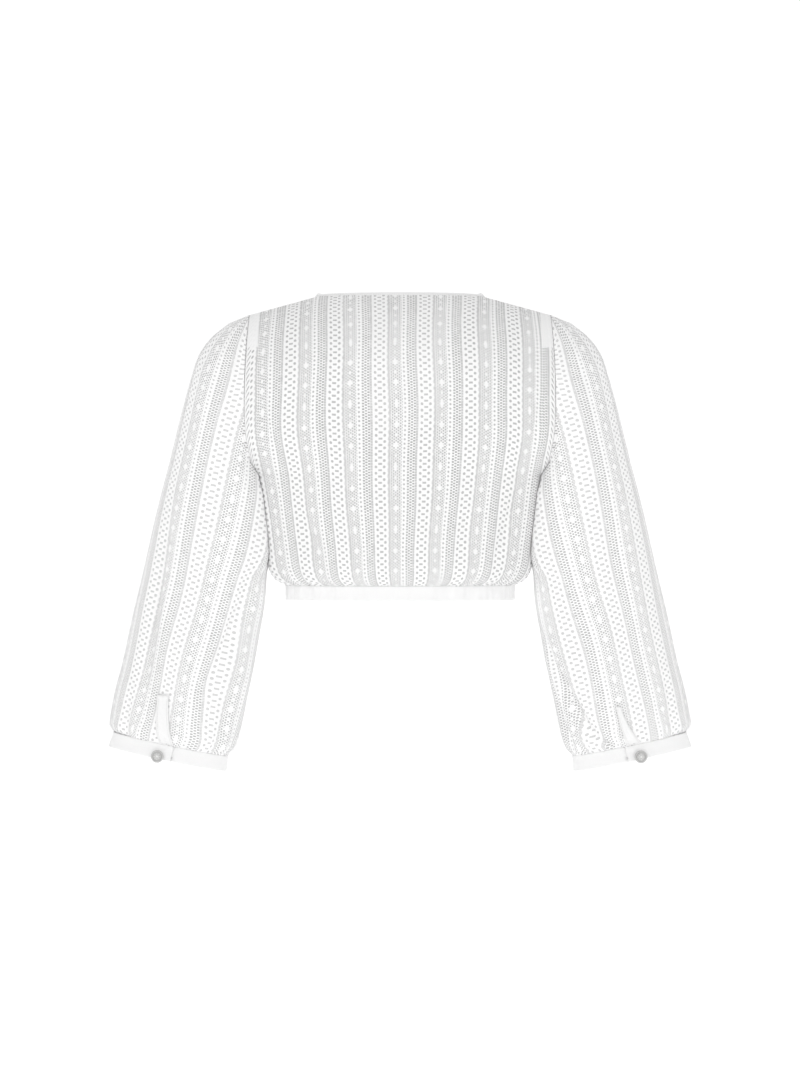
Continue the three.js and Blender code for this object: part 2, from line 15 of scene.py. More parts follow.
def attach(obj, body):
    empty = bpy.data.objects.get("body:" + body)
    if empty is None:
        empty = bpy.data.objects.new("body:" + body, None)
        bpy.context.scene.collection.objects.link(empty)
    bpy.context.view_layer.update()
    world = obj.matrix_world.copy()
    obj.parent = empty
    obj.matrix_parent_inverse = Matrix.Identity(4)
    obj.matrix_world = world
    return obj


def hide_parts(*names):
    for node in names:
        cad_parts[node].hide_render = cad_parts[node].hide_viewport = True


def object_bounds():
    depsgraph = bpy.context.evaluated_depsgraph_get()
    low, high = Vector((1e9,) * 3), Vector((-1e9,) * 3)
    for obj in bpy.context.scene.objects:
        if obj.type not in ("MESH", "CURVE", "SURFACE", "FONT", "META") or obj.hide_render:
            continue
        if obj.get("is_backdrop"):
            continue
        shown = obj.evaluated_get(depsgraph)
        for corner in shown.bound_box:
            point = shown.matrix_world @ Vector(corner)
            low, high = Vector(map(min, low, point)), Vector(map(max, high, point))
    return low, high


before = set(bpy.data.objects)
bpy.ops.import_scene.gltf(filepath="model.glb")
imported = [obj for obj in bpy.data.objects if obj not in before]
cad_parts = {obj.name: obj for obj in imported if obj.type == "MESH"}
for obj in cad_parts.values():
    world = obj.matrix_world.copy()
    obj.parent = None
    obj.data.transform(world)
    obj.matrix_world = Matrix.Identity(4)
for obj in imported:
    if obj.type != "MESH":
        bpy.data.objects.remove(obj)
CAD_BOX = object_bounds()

MM = 0.001
print("nodes:", sorted(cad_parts))

# %% [markdown]
# ## The camera
# The photograph looks level at the back of the blouse. Its 1067 rows of pixels cover 1259 mm at
# 1.18 mm a pixel, which an 85 mm lens sees from about 3 m away.

# %% Place the camera
PHOTO_SCALE = 1.18 * MM
PHOTO_HEIGHT = 1067
LENS = 85.0
SENSOR = 36.0
BACK_PLANE = -0.02
EYE_HEIGHT = -0.2685
CLIP_END = 30


def make_camera():
    distance = PHOTO_HEIGHT * PHOTO_SCALE * LENS / SENSOR
    data = bpy.data.cameras.new("camera")
    data.lens = LENS
    data.sensor_width = SENSOR
    data.clip_end = CLIP_END
    camera = bpy.data.objects.new("camera", data)
    bpy.context.collection.objects.link(camera)
    camera.location = (0, BACK_PLANE - distance, EYE_HEIGHT)
    camera.rotation_euler = (math.pi / 2, 0, 0)
    bpy.context.scene.camera = camera
    return camera


camera = make_camera()
print("camera at", tuple(round(c, 3) for c in camera.location))

# %% [markdown]
# ## Sizes
# These are the cut's own sizes in millimetres, with the tables that shape the body and the
# sleeves. A soft curve goes through each table, so a few rows are enough. Beside the body a sleeve
# laps round its rounded side, and it always stays a little outside of it.

# %% Sizes of the cut
CLOTH = 0.7
LIFT = 0.25
SEAM_GAP = 0.3
ARMHOLE_GAP = 0.7
LAY_GAP = 0.4

NECK_HALF = 101
NECK_TOP = 12
SHOULDER_HALF = 178
SHOULDER_TOP = -9
SHOULDER_ROUNDING = 104
UNDERARM = -200
ARMHOLE_FLOOR_RISE = 62
ARMHOLE_DEPTH = 60
BODY_ROUNDNESS = 0.46
HEM_TOP = -330
HEM_BOTTOM = -347

BODY = [
    # height, half width, depth at the back, depth at the front
    (-347, 133, 66, 70),
    (-330, 135, 68, 72),
    (-325, 145, 75, 81),
    (-318, 151.5, 80, 88),
    (-306, 155.5, 85, 95),
    (-284, 158.5, 88, 101),
    (-244, 164.5, 91, 109),
    (-200, 171, 94, 114),
    (-150, 180, 97, 113),
    (-100, 181, 97, 106),
    (-50, 179.5, 94, 96),
    (-14, 178, 90, 88),
    (60, 178, 84, 80),
]

FRONT_NECKLINE = [
    # distance from the middle, height
    (0, -152),
    (16, -150),
    (36, -141),
    (50, -116),
    (58, -78),
    (68, -36),
    (84, -8),
    (101, 12),
]

SLEEVE = [
    # outer edge x and z, inner edge x and z, half depth, how far it lies forward
    (203, -19, 174, -207, 59, 0),
    (224, -36, 172, -214, 60, 0),
    (239, -57, 170.5, -222, 61, 0),
    (248, -84, 168.4, -233, 61, 0),
    (258, -120, 165.4, -251, 60, 1),
    (271, -172, 161.8, -276, 58, 2),
    (289, -241, 158.5, -311, 55, 3),
    (304.5, -309, 160.5, -349, 52, 4),
    (318, -365, 167, -388, 50, 5),
    (329.5, -418, 174.5, -430, 48, 6),
    (339, -454, 182, -465, 45, 7),
    (344.5, -482, 189.5, -500, 41, 8),
    (345.5, -496, 196.5, -522, 35, 8),
    (340.5, -504.8, 205.5, -533.4, 25, 8),
]
SLEEVE_ROWS = [(k + 1, *row) for k, row in enumerate(SLEEVE)]
SLEEVE_TILT = math.radians(13)

SIDE_EASE = [
    # height, how far body and sleeve each press towards the other, share of the sleeve's lap
    (-350, 0, 0),
    (-320, 0, 0),
    (-306, 1.2, 0.6),
    (-294, 1.15, 0.9),
    (-276, 0.8, 1),
    (-251, 0.7, 1),
    (-235, 0.9, 1),
    (-222, 1.1, 0.95),
    (-209, 1.3, 0.75),
    (-198, 1.1, 0.6),
    (-186, 0.5, 0.3),
    (-176, 0, 0.1),
    (-168, 0, 0),
    (60, 0, 0),
]
SIDE_LAP = [
    # angle round the sleeve in degrees, how far it laps over the body's rounded edge
    (96, 0),
    (110, 1),
    (122, 3),
    (135, 7),
    (144, 12),
    (150, 14),
    (155, 11.5),
    (160, 8),
    (165, 4.8),
    (170, 2.4),
    (180, 0),
]
SIDE_CLEAR = 0.95
SIDE_TOP = -150
SIDE_FOOT = -326


def clamp(x, low=0.0, high=1.0):
    return max(low, min(high, x))


def smooth(x):
    x = clamp(x)
    return x * x * (3 - 2 * x)


def mix(a, b, t):
    return a + (b - a) * t


def read_table(rows, at, column):
    """The soft curve through a table whose first column rises."""
    if at <= rows[0][0]:
        return rows[0][column]
    for i in range(1, len(rows)):
        if at <= rows[i][0]:
            break
    else:
        return rows[-1][column]
    low, high = rows[i - 1], rows[i]
    before, after = rows[max(i - 2, 0)], rows[min(i + 1, len(rows) - 1)]
    step = high[0] - low[0]
    t = (at - low[0]) / step
    slope_in = (high[column] - before[column]) / (high[0] - before[0])
    slope_out = (after[column] - low[column]) / (after[0] - low[0])
    t2, t3 = t * t, t * t * t
    start = (2 * t3 - 3 * t2 + 1) * low[column] + (t3 - 2 * t2 + t) * step * slope_in
    return start + (3 * t2 - 2 * t3) * high[column] + (t3 - t2) * step * slope_out


def trough(rows, key, degrees, at):
    """Depth of the soft troughs at a place. rows holds (key, angles, start, end, half width, depth)."""
    depth = 0.0
    for row_key, top_angle, foot_angle, top, foot, half, deep in rows:
        share = (at - top) / (foot - top)
        if row_key != key or not 0 < share < 1:
            continue
        off = (degrees - mix(top_angle, foot_angle, share)) / half
        depth += deep * math.sin(math.pi * share) ** 0.8 * math.exp(-off * off)
    return depth


# %% [markdown]
# ## The body's form
# One function gives a point of the body for a turn round it and a height. The back and the front
# share it, so their side and shoulder seams meet. Gathers come from the elastic in the hem: a
# coarse wave that the frame has too, and finer ones between that only the cloth has.

# %% The body's form
HEM_GATHERS = 24
HEM_GATHER_DEPTH = 1.7
HEM_GATHER_REACH = 46
FINE_GATHERS = 67
FINE_GATHER_DEPTH = 0.55
NECK_DIP = 1.5
BELOW_UNDERARM = 0.4

BODY_CREASES = [
    # face, turn at its top and foot in degrees, top and foot height, half width in degrees, depth
    (-1, -46, -33, -236, -322, 3.2, 2.6),
    (-1, -20, -14, -262, -324, 2.4, 1.7),
    (-1, 4, 7, -270, -325, 2.2, 1.5),
    (-1, 30, 24, -240, -324, 2.8, 2.2),
    (-1, 55, 44, -214, -320, 3.4, 2.9),
    (-1, -66, -50, -96, -214, 3.6, 2.2),
    (-1, 67, 54, -104, -205, 3.6, 2.0),
    (1, -50, -36, -230, -322, 3.4, 3.0),
    (1, -24, -16, -212, -324, 3.0, 2.4),
    (1, 14, 12, -244, -325, 2.6, 1.9),
    (1, 40, 28, -206, -324, 3.2, 2.8),
    (1, 68, 52, -110, -240, 3.8, 2.4),
    (1, -69, -55, -100, -232, 3.6, 2.2),
]


def shoulder_height(x):
    slope = (NECK_TOP - SHOULDER_TOP) / (SHOULDER_HALF - NECK_HALF)
    off = abs(x)
    soft = (off * off / NECK_HALF + NECK_HALF) / 2 if off < NECK_HALF else off
    return SHOULDER_TOP + (SHOULDER_HALF - soft) * slope


def armhole_opening(full, z):
    """How much of the side is open at this height, where the panel's depth would be full."""
    rise = clamp((z - UNDERARM) / ARMHOLE_FLOOR_RISE)
    edge = ARMHOLE_DEPTH * math.sqrt(1 - (1 - rise) ** 2)
    return (edge / full) ** (1 / BODY_ROUNDNESS)


def body_depth(face, s, x, z):
    full = read_table(BODY, z, 2 if face < 0 else 3)
    across = full * max(1 - s * s * (1 - armhole_opening(full, z)), 0) ** BODY_ROUNDNESS
    drop = clamp((shoulder_height(x) - z) / SHOULDER_ROUNDING)
    return face * across * math.sqrt(1 - (1 - drop) ** 2)


def body_side(y, z):
    """How far out the body reaches at this depth and height."""
    full = read_table(BODY, z, 2 if y < 0 else 3)
    closed = 1 - clamp(abs(y) / full) ** (1 / BODY_ROUNDNESS)
    s = math.sqrt(min(closed / (1 - armhole_opening(full, z)), 1))
    return read_table(BODY, z, 1) * s + read_table(SIDE_EASE, z, 1) * s**8


def hem_gather(face, turn, z):
    reach = clamp(1 - (z - HEM_TOP) / HEM_GATHER_REACH)
    uneven = 0.72 + 0.28 * math.sin(5.3 * turn + face)
    coarse = HEM_GATHER_DEPTH * uneven * math.cos(HEM_GATHERS * turn)
    fine_uneven = 0.6 + 0.4 * math.sin(3.7 * turn + 2 * face)
    fine = FINE_GATHER_DEPTH * fine_uneven * math.cos(FINE_GATHERS * turn + 0.8 * math.sin(9 * turn))
    return reach**1.6 * coarse + reach**3 * fine


def body_point(face, turn, z, creased=True):
    """turn runs from -90 to 90 degrees, from the left side seam to the right one."""
    s = math.sin(turn)
    x = read_table(BODY, z, 1) * s
    y = body_depth(face, s, x, z)
    if not creased:
        return Vector((x, y, z))
    wave = hem_gather(face, turn, z) - trough(BODY_CREASES, face, math.degrees(turn), z)
    ease = read_table(SIDE_EASE, z, 1) * s**8
    return Vector((x + wave * s + math.copysign(ease, s), y + face * wave * math.cos(turn), z))


def top_edge(face, turn):
    x = min(abs(math.sin(turn)) * SHOULDER_HALF, SHOULDER_HALF)
    if x >= NECK_HALF - 0.01:
        return shoulder_height(x)
    if face < 0:
        return NECK_TOP - NECK_DIP * (1 - (x / NECK_HALF) ** 2)
    return read_table(FRONT_NECKLINE, x, 1)


def body_at(face, turn, share):
    """A point of a panel, from 0 at the hem to 1 at its upper edge."""
    if share <= BELOW_UNDERARM:
        z = mix(HEM_TOP, UNDERARM, (share / BELOW_UNDERARM) ** 1.25)
    else:
        above = (share - BELOW_UNDERARM) / (1 - BELOW_UNDERARM)
        z = mix(UNDERARM, top_edge(face, turn), (1 - math.cos(math.pi * above)) / 2)
    return body_point(face, turn, z)


print("body 100 mm under the neck is", round(2 * read_table(BODY, -100, 1)), "mm wide")

# %% [markdown]
# ## The sleeves' form
# A sleeve is a tube from the armhole seam to the cuff. Its folds are soft troughs that wander
# round it on their way down, and its gathers grow towards the cuff. Beside the slit it is calm.

# %% The sleeves' form
CUFF_GATHERS = 12
CUFF_GATHER_DEPTH = 2.2
CUFF_GATHER_REACH = 0.24
FINE_CUFF_GATHERS = 31
FINE_CUFF_DEPTH = 0.7
CUFF_OVERLAP = math.radians(34)
CUFF_LAYER = 2.2
SLIT_FOOT = 0.99
SLIT_CALM = 15

FOLDS = [
    # side, angle at the top and foot in degrees, start and end along, half width, depth
    (-1, 39, 66, 0.45, 0.9, 9, 5),
    (-1, 47, 84, 0.45, 0.86, 8, -3),
    (-1, 150, 108, 0.46, 0.8, 9, 4.5),
    (-1, 250, 286, 0.45, 0.9, 10, 5),
    (1, 170, 105, 0.62, 0.98, 9, 6),
    (1, 178, 150, 0.7, 0.97, 8, 4),
    (1, 72, 80, 0.4, 0.8, 10, 3.5),
    (1, 236, 270, 0.5, 0.92, 10, 5),
]

SMALL_FOLDS = [
    # side, angle at the top and foot in degrees, start and end along, half width, depth
    (-1, 42, 58, 0.47, 0.78, 3.2, 2.8),
    (-1, 140, 110, 0.49, 0.78, 3.4, 2.6),
    (-1, 100, 118, 0.52, 0.84, 4, 2.0),
    (-1, 40, 47, 0.72, 0.98, 4, 2.2),
    (-1, 56, 60, 0.8, 0.985, 3.5, 1.8),
    (-1, 106, 104, 0.82, 0.985, 3.5, 2.0),
    (-1, 122, 117, 0.76, 0.985, 4, 2.4),
    (-1, 144, 134, 0.7, 0.98, 5, 2.6),
    (-1, 116, 96, 0.1, 0.42, 9, 2.4),
    (-1, 60, 70, 0.06, 0.34, 8, 1.8),
    (-1, 300, 292, 0.66, 0.98, 5, 2.8),
    (-1, 262, 270, 0.74, 0.98, 4, 2.4),
    (-1, 236, 246, 0.12, 0.5, 8, 2.4),
    (1, 160, 104, 0.66, 0.985, 2.8, 3.2),
    (1, 172, 146, 0.72, 0.97, 3, 2.4),
    (1, 98, 112, 0.44, 0.7, 4, 2.0),
    (1, 44, 50, 0.74, 0.985, 4, 2.2),
    (1, 62, 66, 0.8, 0.985, 3.5, 1.8),
    (1, 76, 78, 0.84, 0.985, 3, 1.6),
    (1, 118, 113, 0.78, 0.985, 4, 2.4),
    (1, 150, 142, 0.72, 0.98, 5, 2.4),
    (1, 118, 100, 0.1, 0.44, 9, 2.2),
    (1, 58, 66, 0.06, 0.36, 8, 2.0),
    (1, 292, 284, 0.68, 0.98, 5, 2.6),
    (1, 256, 262, 0.76, 0.98, 4, 2.2),
    (1, 240, 252, 0.14, 0.5, 8, 2.4),
]

SLITS = {
    # side: angle at the top and foot, half width there in degrees, start along, overlap, button
    -1: (77, 88, 5, 7, 0.785, 95, 82.3),
    1: (95.5, 87, 2, 7, 0.81, 96, 84),
}


def armhole_point(side, angle):
    face = -1 if math.sin(angle) >= 0 else 1
    z = mix(UNDERARM, SHOULDER_TOP, (1 + math.cos(angle)) / 2)
    return body_point(face, side * math.pi / 2, z, creased=False)


def away_from_slit(side, angle, along):
    top_angle, foot_angle, _, _, top, _, _ = SLITS[side]
    share = clamp((along - top) / (SLIT_FOOT - top))
    off = (math.degrees(angle) - mix(top_angle, foot_angle, share)) / SLIT_CALM
    return 1 - smooth((along - top + 0.12) / 0.1) * math.exp(-(off**4))


def cuff_gather(side, angle, along):
    reach = clamp(1 - (1 - along) / CUFF_GATHER_REACH)
    uneven = 0.7 + 0.3 * math.sin(3.1 * angle + side)
    coarse = CUFF_GATHER_DEPTH * uneven * reach**1.4 * math.cos(CUFF_GATHERS * angle)
    fine = FINE_CUFF_DEPTH * reach**3 * math.cos(FINE_CUFF_GATHERS * angle + 0.9 * math.sin(5 * angle))
    return (coarse + fine) * (1 - 0.8 * smooth((along - 0.94) / 0.06))


def raised_layer(side, angle):
    """1 where the cuff's end laps over its start, which lifts the sleeve's edge too."""
    from_end = math.radians(SLITS[side][5]) - angle % (2 * math.pi)
    if from_end < 0:
        return smooth(1 + from_end / math.radians(3))
    return smooth((2 * CUFF_OVERLAP - from_end) / CUFF_OVERLAP)


def sleeve_frame(place):
    out_x, out_z, in_x, in_z, depth, forward = (read_table(SLEEVE_ROWS, place, c) for c in range(1, 7))
    middle = Vector(((out_x + in_x) / 2, forward, (out_z + in_z) / 2))
    half = Vector(((out_x - in_x) / 2, 0, (out_z - in_z) / 2))
    return middle, half, depth


def ring_point(side, angle, place, along, small=True):
    middle, half, depth = sleeve_frame(place)
    free = away_from_slit(side, angle, along)
    degrees = math.degrees(angle)
    swell = free * (cuff_gather(side, angle, along) - trough(FOLDS, side, degrees, along))
    if small:
        swell += CUFF_LAYER * raised_layer(side, angle) * smooth((along - 0.9) / 0.1)
        swell -= free * trough(SMALL_FOLDS, side, degrees, along)
    reach = half * (math.cos(angle) * (1 + swell / half.length))
    z = middle.z + reach.z
    ease = read_table(SIDE_EASE, z, 1) * max(-math.cos(angle), 0) ** 8
    from_top = degrees % 360
    lap = read_table(SIDE_LAP, min(from_top, 360 - from_top), 1) * read_table(SIDE_EASE, z, 2)
    x = side * (middle.x + reach.x - ease - lap)
    return Vector((x, middle.y - (depth + swell) * math.sin(angle), z))


def sleeve_point(side, angle, along, small=True):
    """along runs from 0 at the armhole to 1 at the cuff, angle from 0 on the shoulder."""
    place = along * len(SLEEVE)
    point = ring_point(side, angle, max(place, 1), along, small)
    if place < 1:
        seam = armhole_point(side, angle)
        seam.x += side * ARMHOLE_GAP
        point = seam.lerp(point, place)
    if SIDE_FOOT < point.z < SIDE_TOP:
        point.x = side * max(side * point.x, body_side(point.y, point.z) + SIDE_CLEAR)
    return point


print("sleeve half way down is", round(2 * sleeve_frame(7)[1].length), "mm wide")

# %% [markdown]
# ## Cloth from a grid
# Every piece starts as a flat bmesh grid, like cloth on the cutting table. A function then lifts
# each of its points to the place it has when it is worn. The yardage, how far a point lies across
# and along the cloth, goes into a UV map in metres, and the lace is drawn from that.

# %% Helpers for cloth
def link(name, bm, smooth_shaded=True):
    mesh = bpy.data.meshes.new(name)
    for face in bm.faces:
        face.smooth = smooth_shaded
    bm.to_mesh(mesh)
    bm.free()
    piece = bpy.data.objects.new(name, mesh)
    bpy.context.collection.objects.link(piece)
    return piece


def cloth_grid(name, columns, rows, place, yardage, thickness, wrap=False):
    """A sheet of columns by rows cells. place and yardage read (across, up), each 0 to 1."""
    bm = bmesh.new()
    bmesh.ops.create_grid(bm, x_segments=columns, y_segments=rows, size=0.5)
    yard = bm.loops.layers.uv.new("yardage")
    shares = {v: (clamp(v.co.x + 0.5), clamp(v.co.y + 0.5)) for v in bm.verts}
    for face in bm.faces:
        for loop in face.loops:
            loop[yard].uv = yardage(*shares[loop.vert])
    for v, (across, up) in shares.items():
        v.co = place(across, up) * MM
    if wrap:
        bmesh.ops.remove_doubles(bm, verts=bm.verts, dist=0.02 * MM)
    piece = link(name, bm)
    if thickness:
        wall = piece.modifiers.new("thickness", "SOLIDIFY")
        wall.thickness = thickness * MM
        wall.offset = -1
        wall.use_even_offset = False
    return piece


def running_length(points):
    total = [0.0]
    for a, b in zip(points, points[1:]):
        total.append(total[-1] + (b - a).length)
    return total


def dress(piece, material, node):
    piece.data.materials.append(material)
    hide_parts(node)
    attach(piece, "root")
    return piece


# %% [markdown]
# ## The lace
# The cloth is a striped openwork cotton. Across one repeat of 53 mm it has a white band with two
# columns of buttonholed eyelets and a ladder between them, a fine net with small diamonds, a
# column of small eyelets and a grid. Two sheer lines part them. Every hole is worked out from the
# yardage as the distance to its nearest edge, so the pattern turns and gathers with the cloth.
# The holes are only partly open: most of each is painted with a grey shade, darker in the fine net,
# that stands in for the shaded inside seen through them.

# %% Nodes as arithmetic
BUMP_DEPTH = 0.0006


class Wire:
    """A node's output. Arithmetic with it becomes math nodes."""

    def __init__(self, tree, socket):
        self.tree = tree
        self.socket = socket

    def do(self, operation, *others):
        node = self.tree.nodes.new("ShaderNodeMath")
        node.operation = operation
        for socket, value in zip(node.inputs, (self, *others)):
            plug(self.tree, socket, value)
        return Wire(self.tree, node.outputs[0])

    def __add__(self, other):
        return self.do("ADD", other)

    def __sub__(self, other):
        return self.do("SUBTRACT", other)

    def __rsub__(self, other):
        return self.do("MULTIPLY_ADD", -1, other)

    def __mul__(self, other):
        return self.do("MULTIPLY", other)

    def __abs__(self):
        return self.do("ABSOLUTE")

    def ramp(self, start, end):
        """0 at start and before, 1 at end and after, soft between."""
        node = self.tree.nodes.new("ShaderNodeMapRange")
        node.interpolation_type = "SMOOTHSTEP"
        for name, value in (("Value", self), ("From Min", start), ("From Max", end)):
            plug(self.tree, node.inputs[name], value)
        return Wire(self.tree, node.outputs["Result"])


def plug(tree, socket, value):
    """Links a wire to a socket, or sets a plain value on it."""
    if isinstance(value, Wire):
        tree.links.new(value.socket, socket)
    else:
        socket.default_value = value


def low(first, *others):
    for other in others:
        first = first.do("MINIMUM", other)
    return first


def high(first, *others):
    for other in others:
        first = first.do("MAXIMUM", other)
    return first


def nearest(a, pitch, start=0.0):
    """Signed distance to the nearest of a row of marks, one every pitch from start."""
    return (a + (pitch / 2 - start)).do("FLOORED_MODULO", pitch) - pitch / 2


def disc(x, y, radius):
    return (x * x + y * y).do("SQRT") - radius


def slot(x, y, half_x, half_y):
    return high(abs(x) - half_x, abs(y) - half_y)


class Look:
    """A new material, with the few nodes that the blouse's materials share."""

    def __init__(self, name):
        self.material = bpy.data.materials.new(name)
        self.material.use_nodes = True
        self.tree = self.material.node_tree
        self.shader = self.tree.nodes["Principled BSDF"]

    def put(self, name, value):
        plug(self.tree, self.shader.inputs[name], value)

    def place(self):
        return Wire(self.tree, self.tree.nodes.new("ShaderNodeTexCoord").outputs["Object"])

    def yardage(self):
        node = self.tree.nodes.new("ShaderNodeUVMap")
        node.uv_map = "yardage"
        return Wire(self.tree, node.outputs["UV"])

    def split(self, vector):
        node = self.tree.nodes.new("ShaderNodeSeparateXYZ")
        plug(self.tree, node.inputs[0], vector)
        return [Wire(self.tree, output) for output in node.outputs]

    def noise(self, vector, scale, detail):
        node = self.tree.nodes.new("ShaderNodeTexNoise")
        for name, value in (("Vector", vector), ("Scale", scale), ("Detail", detail)):
            plug(self.tree, node.inputs[name], value)
        return Wire(self.tree, node.outputs["Fac"])

    def blend(self, share, start, end):
        node = self.tree.nodes.new("ShaderNodeMix")
        node.data_type = "RGBA"
        plug(self.tree, node.inputs["Factor"], share)
        plug(self.tree, node.inputs[6], start)
        plug(self.tree, node.inputs[7], end)
        return Wire(self.tree, node.outputs[2])

    def bump(self, height, strength):
        node = self.tree.nodes.new("ShaderNodeBump")
        for name, value in (("Strength", strength), ("Distance", BUMP_DEPTH), ("Height", height)):
            plug(self.tree, node.inputs[name], value)
        self.put("Normal", Wire(self.tree, node.outputs["Normal"]))

    def matt(self, roughness, sheen):
        self.put("Roughness", roughness)
        self.put("Sheen Weight", sheen)
        self.put("Specular IOR Level", 0.25)


# %% The holes of the lace
REPEAT = 52.9
BAND_HALF = 9.0
SCALLOP = 0.7
EYELET_PITCH = 7.26
EYELET_OFF = 5.0
EYELET_RADIUS = 1.62
LADDER = (2.25, 1.1)
LINE_PLACES = (10.2, 42.7)
LINE_SLOT = (1.25, 0.66)
LINE_PITCH = 1.82
NET_PLACE = 18.5
NET_HALF = 7.0
NET_PITCH = (4.7, 3.3)
NET_RADIUS = 0.95
DIAMOND_PITCH = 24.2
DIAMOND = (3.2, 5.2)
DOT = (1.6, 2.4)
SMALL_PLACE = 28.5
SMALL_PITCH = 5.19
SMALL_RADIUS = 1.2
SMALL_HALF = 2.6
GRID_PLACE = 36.5
GRID_PITCH = 3.3
GRID_HALF = 5.2
GRID_OFF = 3.2
GRID_SIDE = (1.15, 0.85)
GRID_CENTRE = (1.25, 0.8)
# The lace's holes are painted: a grey shade, darker in the fine net, covers most of each hole and stands in
# for the shaded inside seen through it.
FINE_SHADE = 0.26
PAINTED_SHADE_COVER = 0.7
ALLOWANCE_FROM = 0.165
ALLOWANCE_FOOT = -0.052
ALLOWANCE_TONE = 0.88
LACE_WEAVE = (0.62, 0.7)


def diamond_edge(x, y, start, half_x, half_y):
    """Below 0 inside a diamond that repeats along the cloth."""
    edge = abs(x) * (1 / half_x) + abs(nearest(y, DIAMOND_PITCH, start)) * (1 / half_y)
    return (edge - 1) * (half_x * 0.8)


def lace_holes(u, v):
    """Distance to the nearest hole in mm, below 0 inside it, and the shares of white and fine lace."""
    across = (u + BAND_HALF).do("FLOORED_MODULO", REPEAT) - BAND_HALF
    eyelets = disc(abs(across) - EYELET_OFF, nearest(v, EYELET_PITCH), EYELET_RADIUS)
    ladder = slot(across, nearest(v, EYELET_PITCH, EYELET_PITCH / 2), *LADDER)
    holes = low(eyelets, ladder)
    scallop = (v * (2 * math.pi / EYELET_PITCH)).do("COSINE") * SCALLOP
    band_edge = scallop + BAND_HALF - abs(across)

    for place in LINE_PLACES:
        line = slot(across - place, nearest(v, LINE_PITCH), *LINE_SLOT)
        holes = low(holes, high(line, band_edge + 0.3))

    net = across - NET_PLACE
    wide, tall = NET_PITCH
    first = disc(nearest(net, wide), nearest(v, tall), NET_RADIUS)
    second = disc(nearest(net, wide, wide / 2), nearest(v, tall, tall / 2), NET_RADIUS)
    diamond = diamond_edge(net, v, 0.0, *DIAMOND)
    dot = diamond_edge(net, v, DIAMOND_PITCH / 2, *DOT)
    motif = low(diamond, dot) * -1
    netting = high(low(first, second), abs(net) - NET_HALF, motif)

    small_off = across - SMALL_PLACE
    small = disc(small_off, nearest(v, SMALL_PITCH), SMALL_RADIUS)

    grid = across - GRID_PLACE
    sides = slot(abs(grid) - GRID_OFF, nearest(v, GRID_PITCH), *GRID_SIDE)
    centre = slot(grid, nearest(v, GRID_PITCH, GRID_PITCH / 2), *GRID_CENTRE)
    holes = low(holes, netting, small, sides, centre)

    small_band = (SMALL_HALF - abs(small_off)).ramp(-0.5, 0.5)
    white = high(band_edge.ramp(-0.4, 0.6), small_band * 0.8, motif.ramp(-0.3, 0.6))
    fine_net = (NET_HALF - abs(net)).ramp(-0.3, 0.3)
    fine_grid = (GRID_HALF - abs(grid)).ramp(-0.3, 0.3)
    return holes, white, high(fine_net, fine_grid)


def seam_allowance(look):
    """1 where the armhole's seam allowance lies behind the lace, at the shoulder end."""
    x, _, z = look.split(look.place())
    beside = abs(x).ramp(ALLOWANCE_FROM - 0.001, ALLOWANCE_FROM + 0.001)
    return beside * z.ramp(ALLOWANCE_FOOT - 0.002, ALLOWANCE_FOOT + 0.002)


def lace_material(name, shift, hole_painted_shade, thread_tone_and_painted_light, white_tone_and_painted_light, on_body):
    look = Look(name)
    yardage = look.yardage()
    across, along, _ = look.split(yardage)
    u = across * 1000 + shift
    v = along * 1000

    holes, white, fine = lace_holes(u, v)
    holes = holes + (look.noise(yardage, 160, 2) - 0.5) * 0.55
    threads = holes.ramp(-0.22, 0.22)
    # Painted shade: the grey colour given to the holes, darker in the fine net.
    hole = (1 - fine * FINE_SHADE) * hole_painted_shade
    closed = threads
    if on_body:
        allowance = seam_allowance(look)
        closed = high(threads, allowance)
        hole = high(hole, allowance * ALLOWANCE_TONE)
    # Painted shade: the holes stay mostly opaque, so their painted grey covers what lies behind them.
    look.put("Alpha", closed * (1 - PAINTED_SHADE_COVER) + PAINTED_SHADE_COVER)

    wave_u, wave_v = ((at * (2 * math.pi / pitch)).do("SINE") for at, pitch in zip((u, v), LACE_WEAVE))
    ring = (1.3 - abs(holes - 0.6)).ramp(0, 1.2)
    look.bump(ring * 0.6 + wave_u * wave_v * 0.12 + white * 0.35, 0.55)

    # The thread and white tones are the lace's own colour together with painted light: they are set lower on
    # the body and higher on the sleeves.
    cloth = look.blend(white, (*[thread_tone_and_painted_light] * 3, 1), (*[white_tone_and_painted_light] * 3, 1))
    look.put("Base Color", look.blend(threads, hole, cloth))
    look.matt(0.82, 0.15)
    return look.material


# The body and the sleeves are one lace, made as two copies: the body's is painted darker, with greyer threads
# and holes, as painted shade, and the sleeves' lighter, as painted light.
LACE_BODY_PAINTED_DARKER = lace_material("lace_body_painted_darker", 23.6, 0.66, 0.91, 0.92, on_body=True)
LACE_SLEEVE_PAINTED_LIGHTER = lace_material("lace_sleeve_painted_lighter", 6.0, 0.84, 0.955, 0.96, on_body=False)
print("lace nodes:", len(LACE_BODY_PAINTED_DARKER.node_tree.nodes))

# %% [markdown]
# ## Plain cotton and metal
# Bindings, casing and cuffs are a fine plain cotton: a small weave in the bump, with a little
# unevenness in the tone. The buttons are an old silver, darker in its hollows.

# %% Cotton and metal
PETALS = 8


def cotton_material(name, color, weave_size=0.5):
    look = Look(name)
    place = look.place()
    turns = 2 * math.pi * 1000 / weave_size
    wave_x, wave_y, wave_z = ((part * turns).do("SINE") for part in look.split(place))
    cloud = look.noise(place, 190, 5)
    look.bump((wave_x + wave_y + wave_z) * 0.15 + cloud * 1.1, 0.5)
    look.put("Base Color", look.blend(cloud, (*(c * 0.96 for c in color), 1), (*color, 1)))
    look.matt(0.8, 0.12)
    return look.material


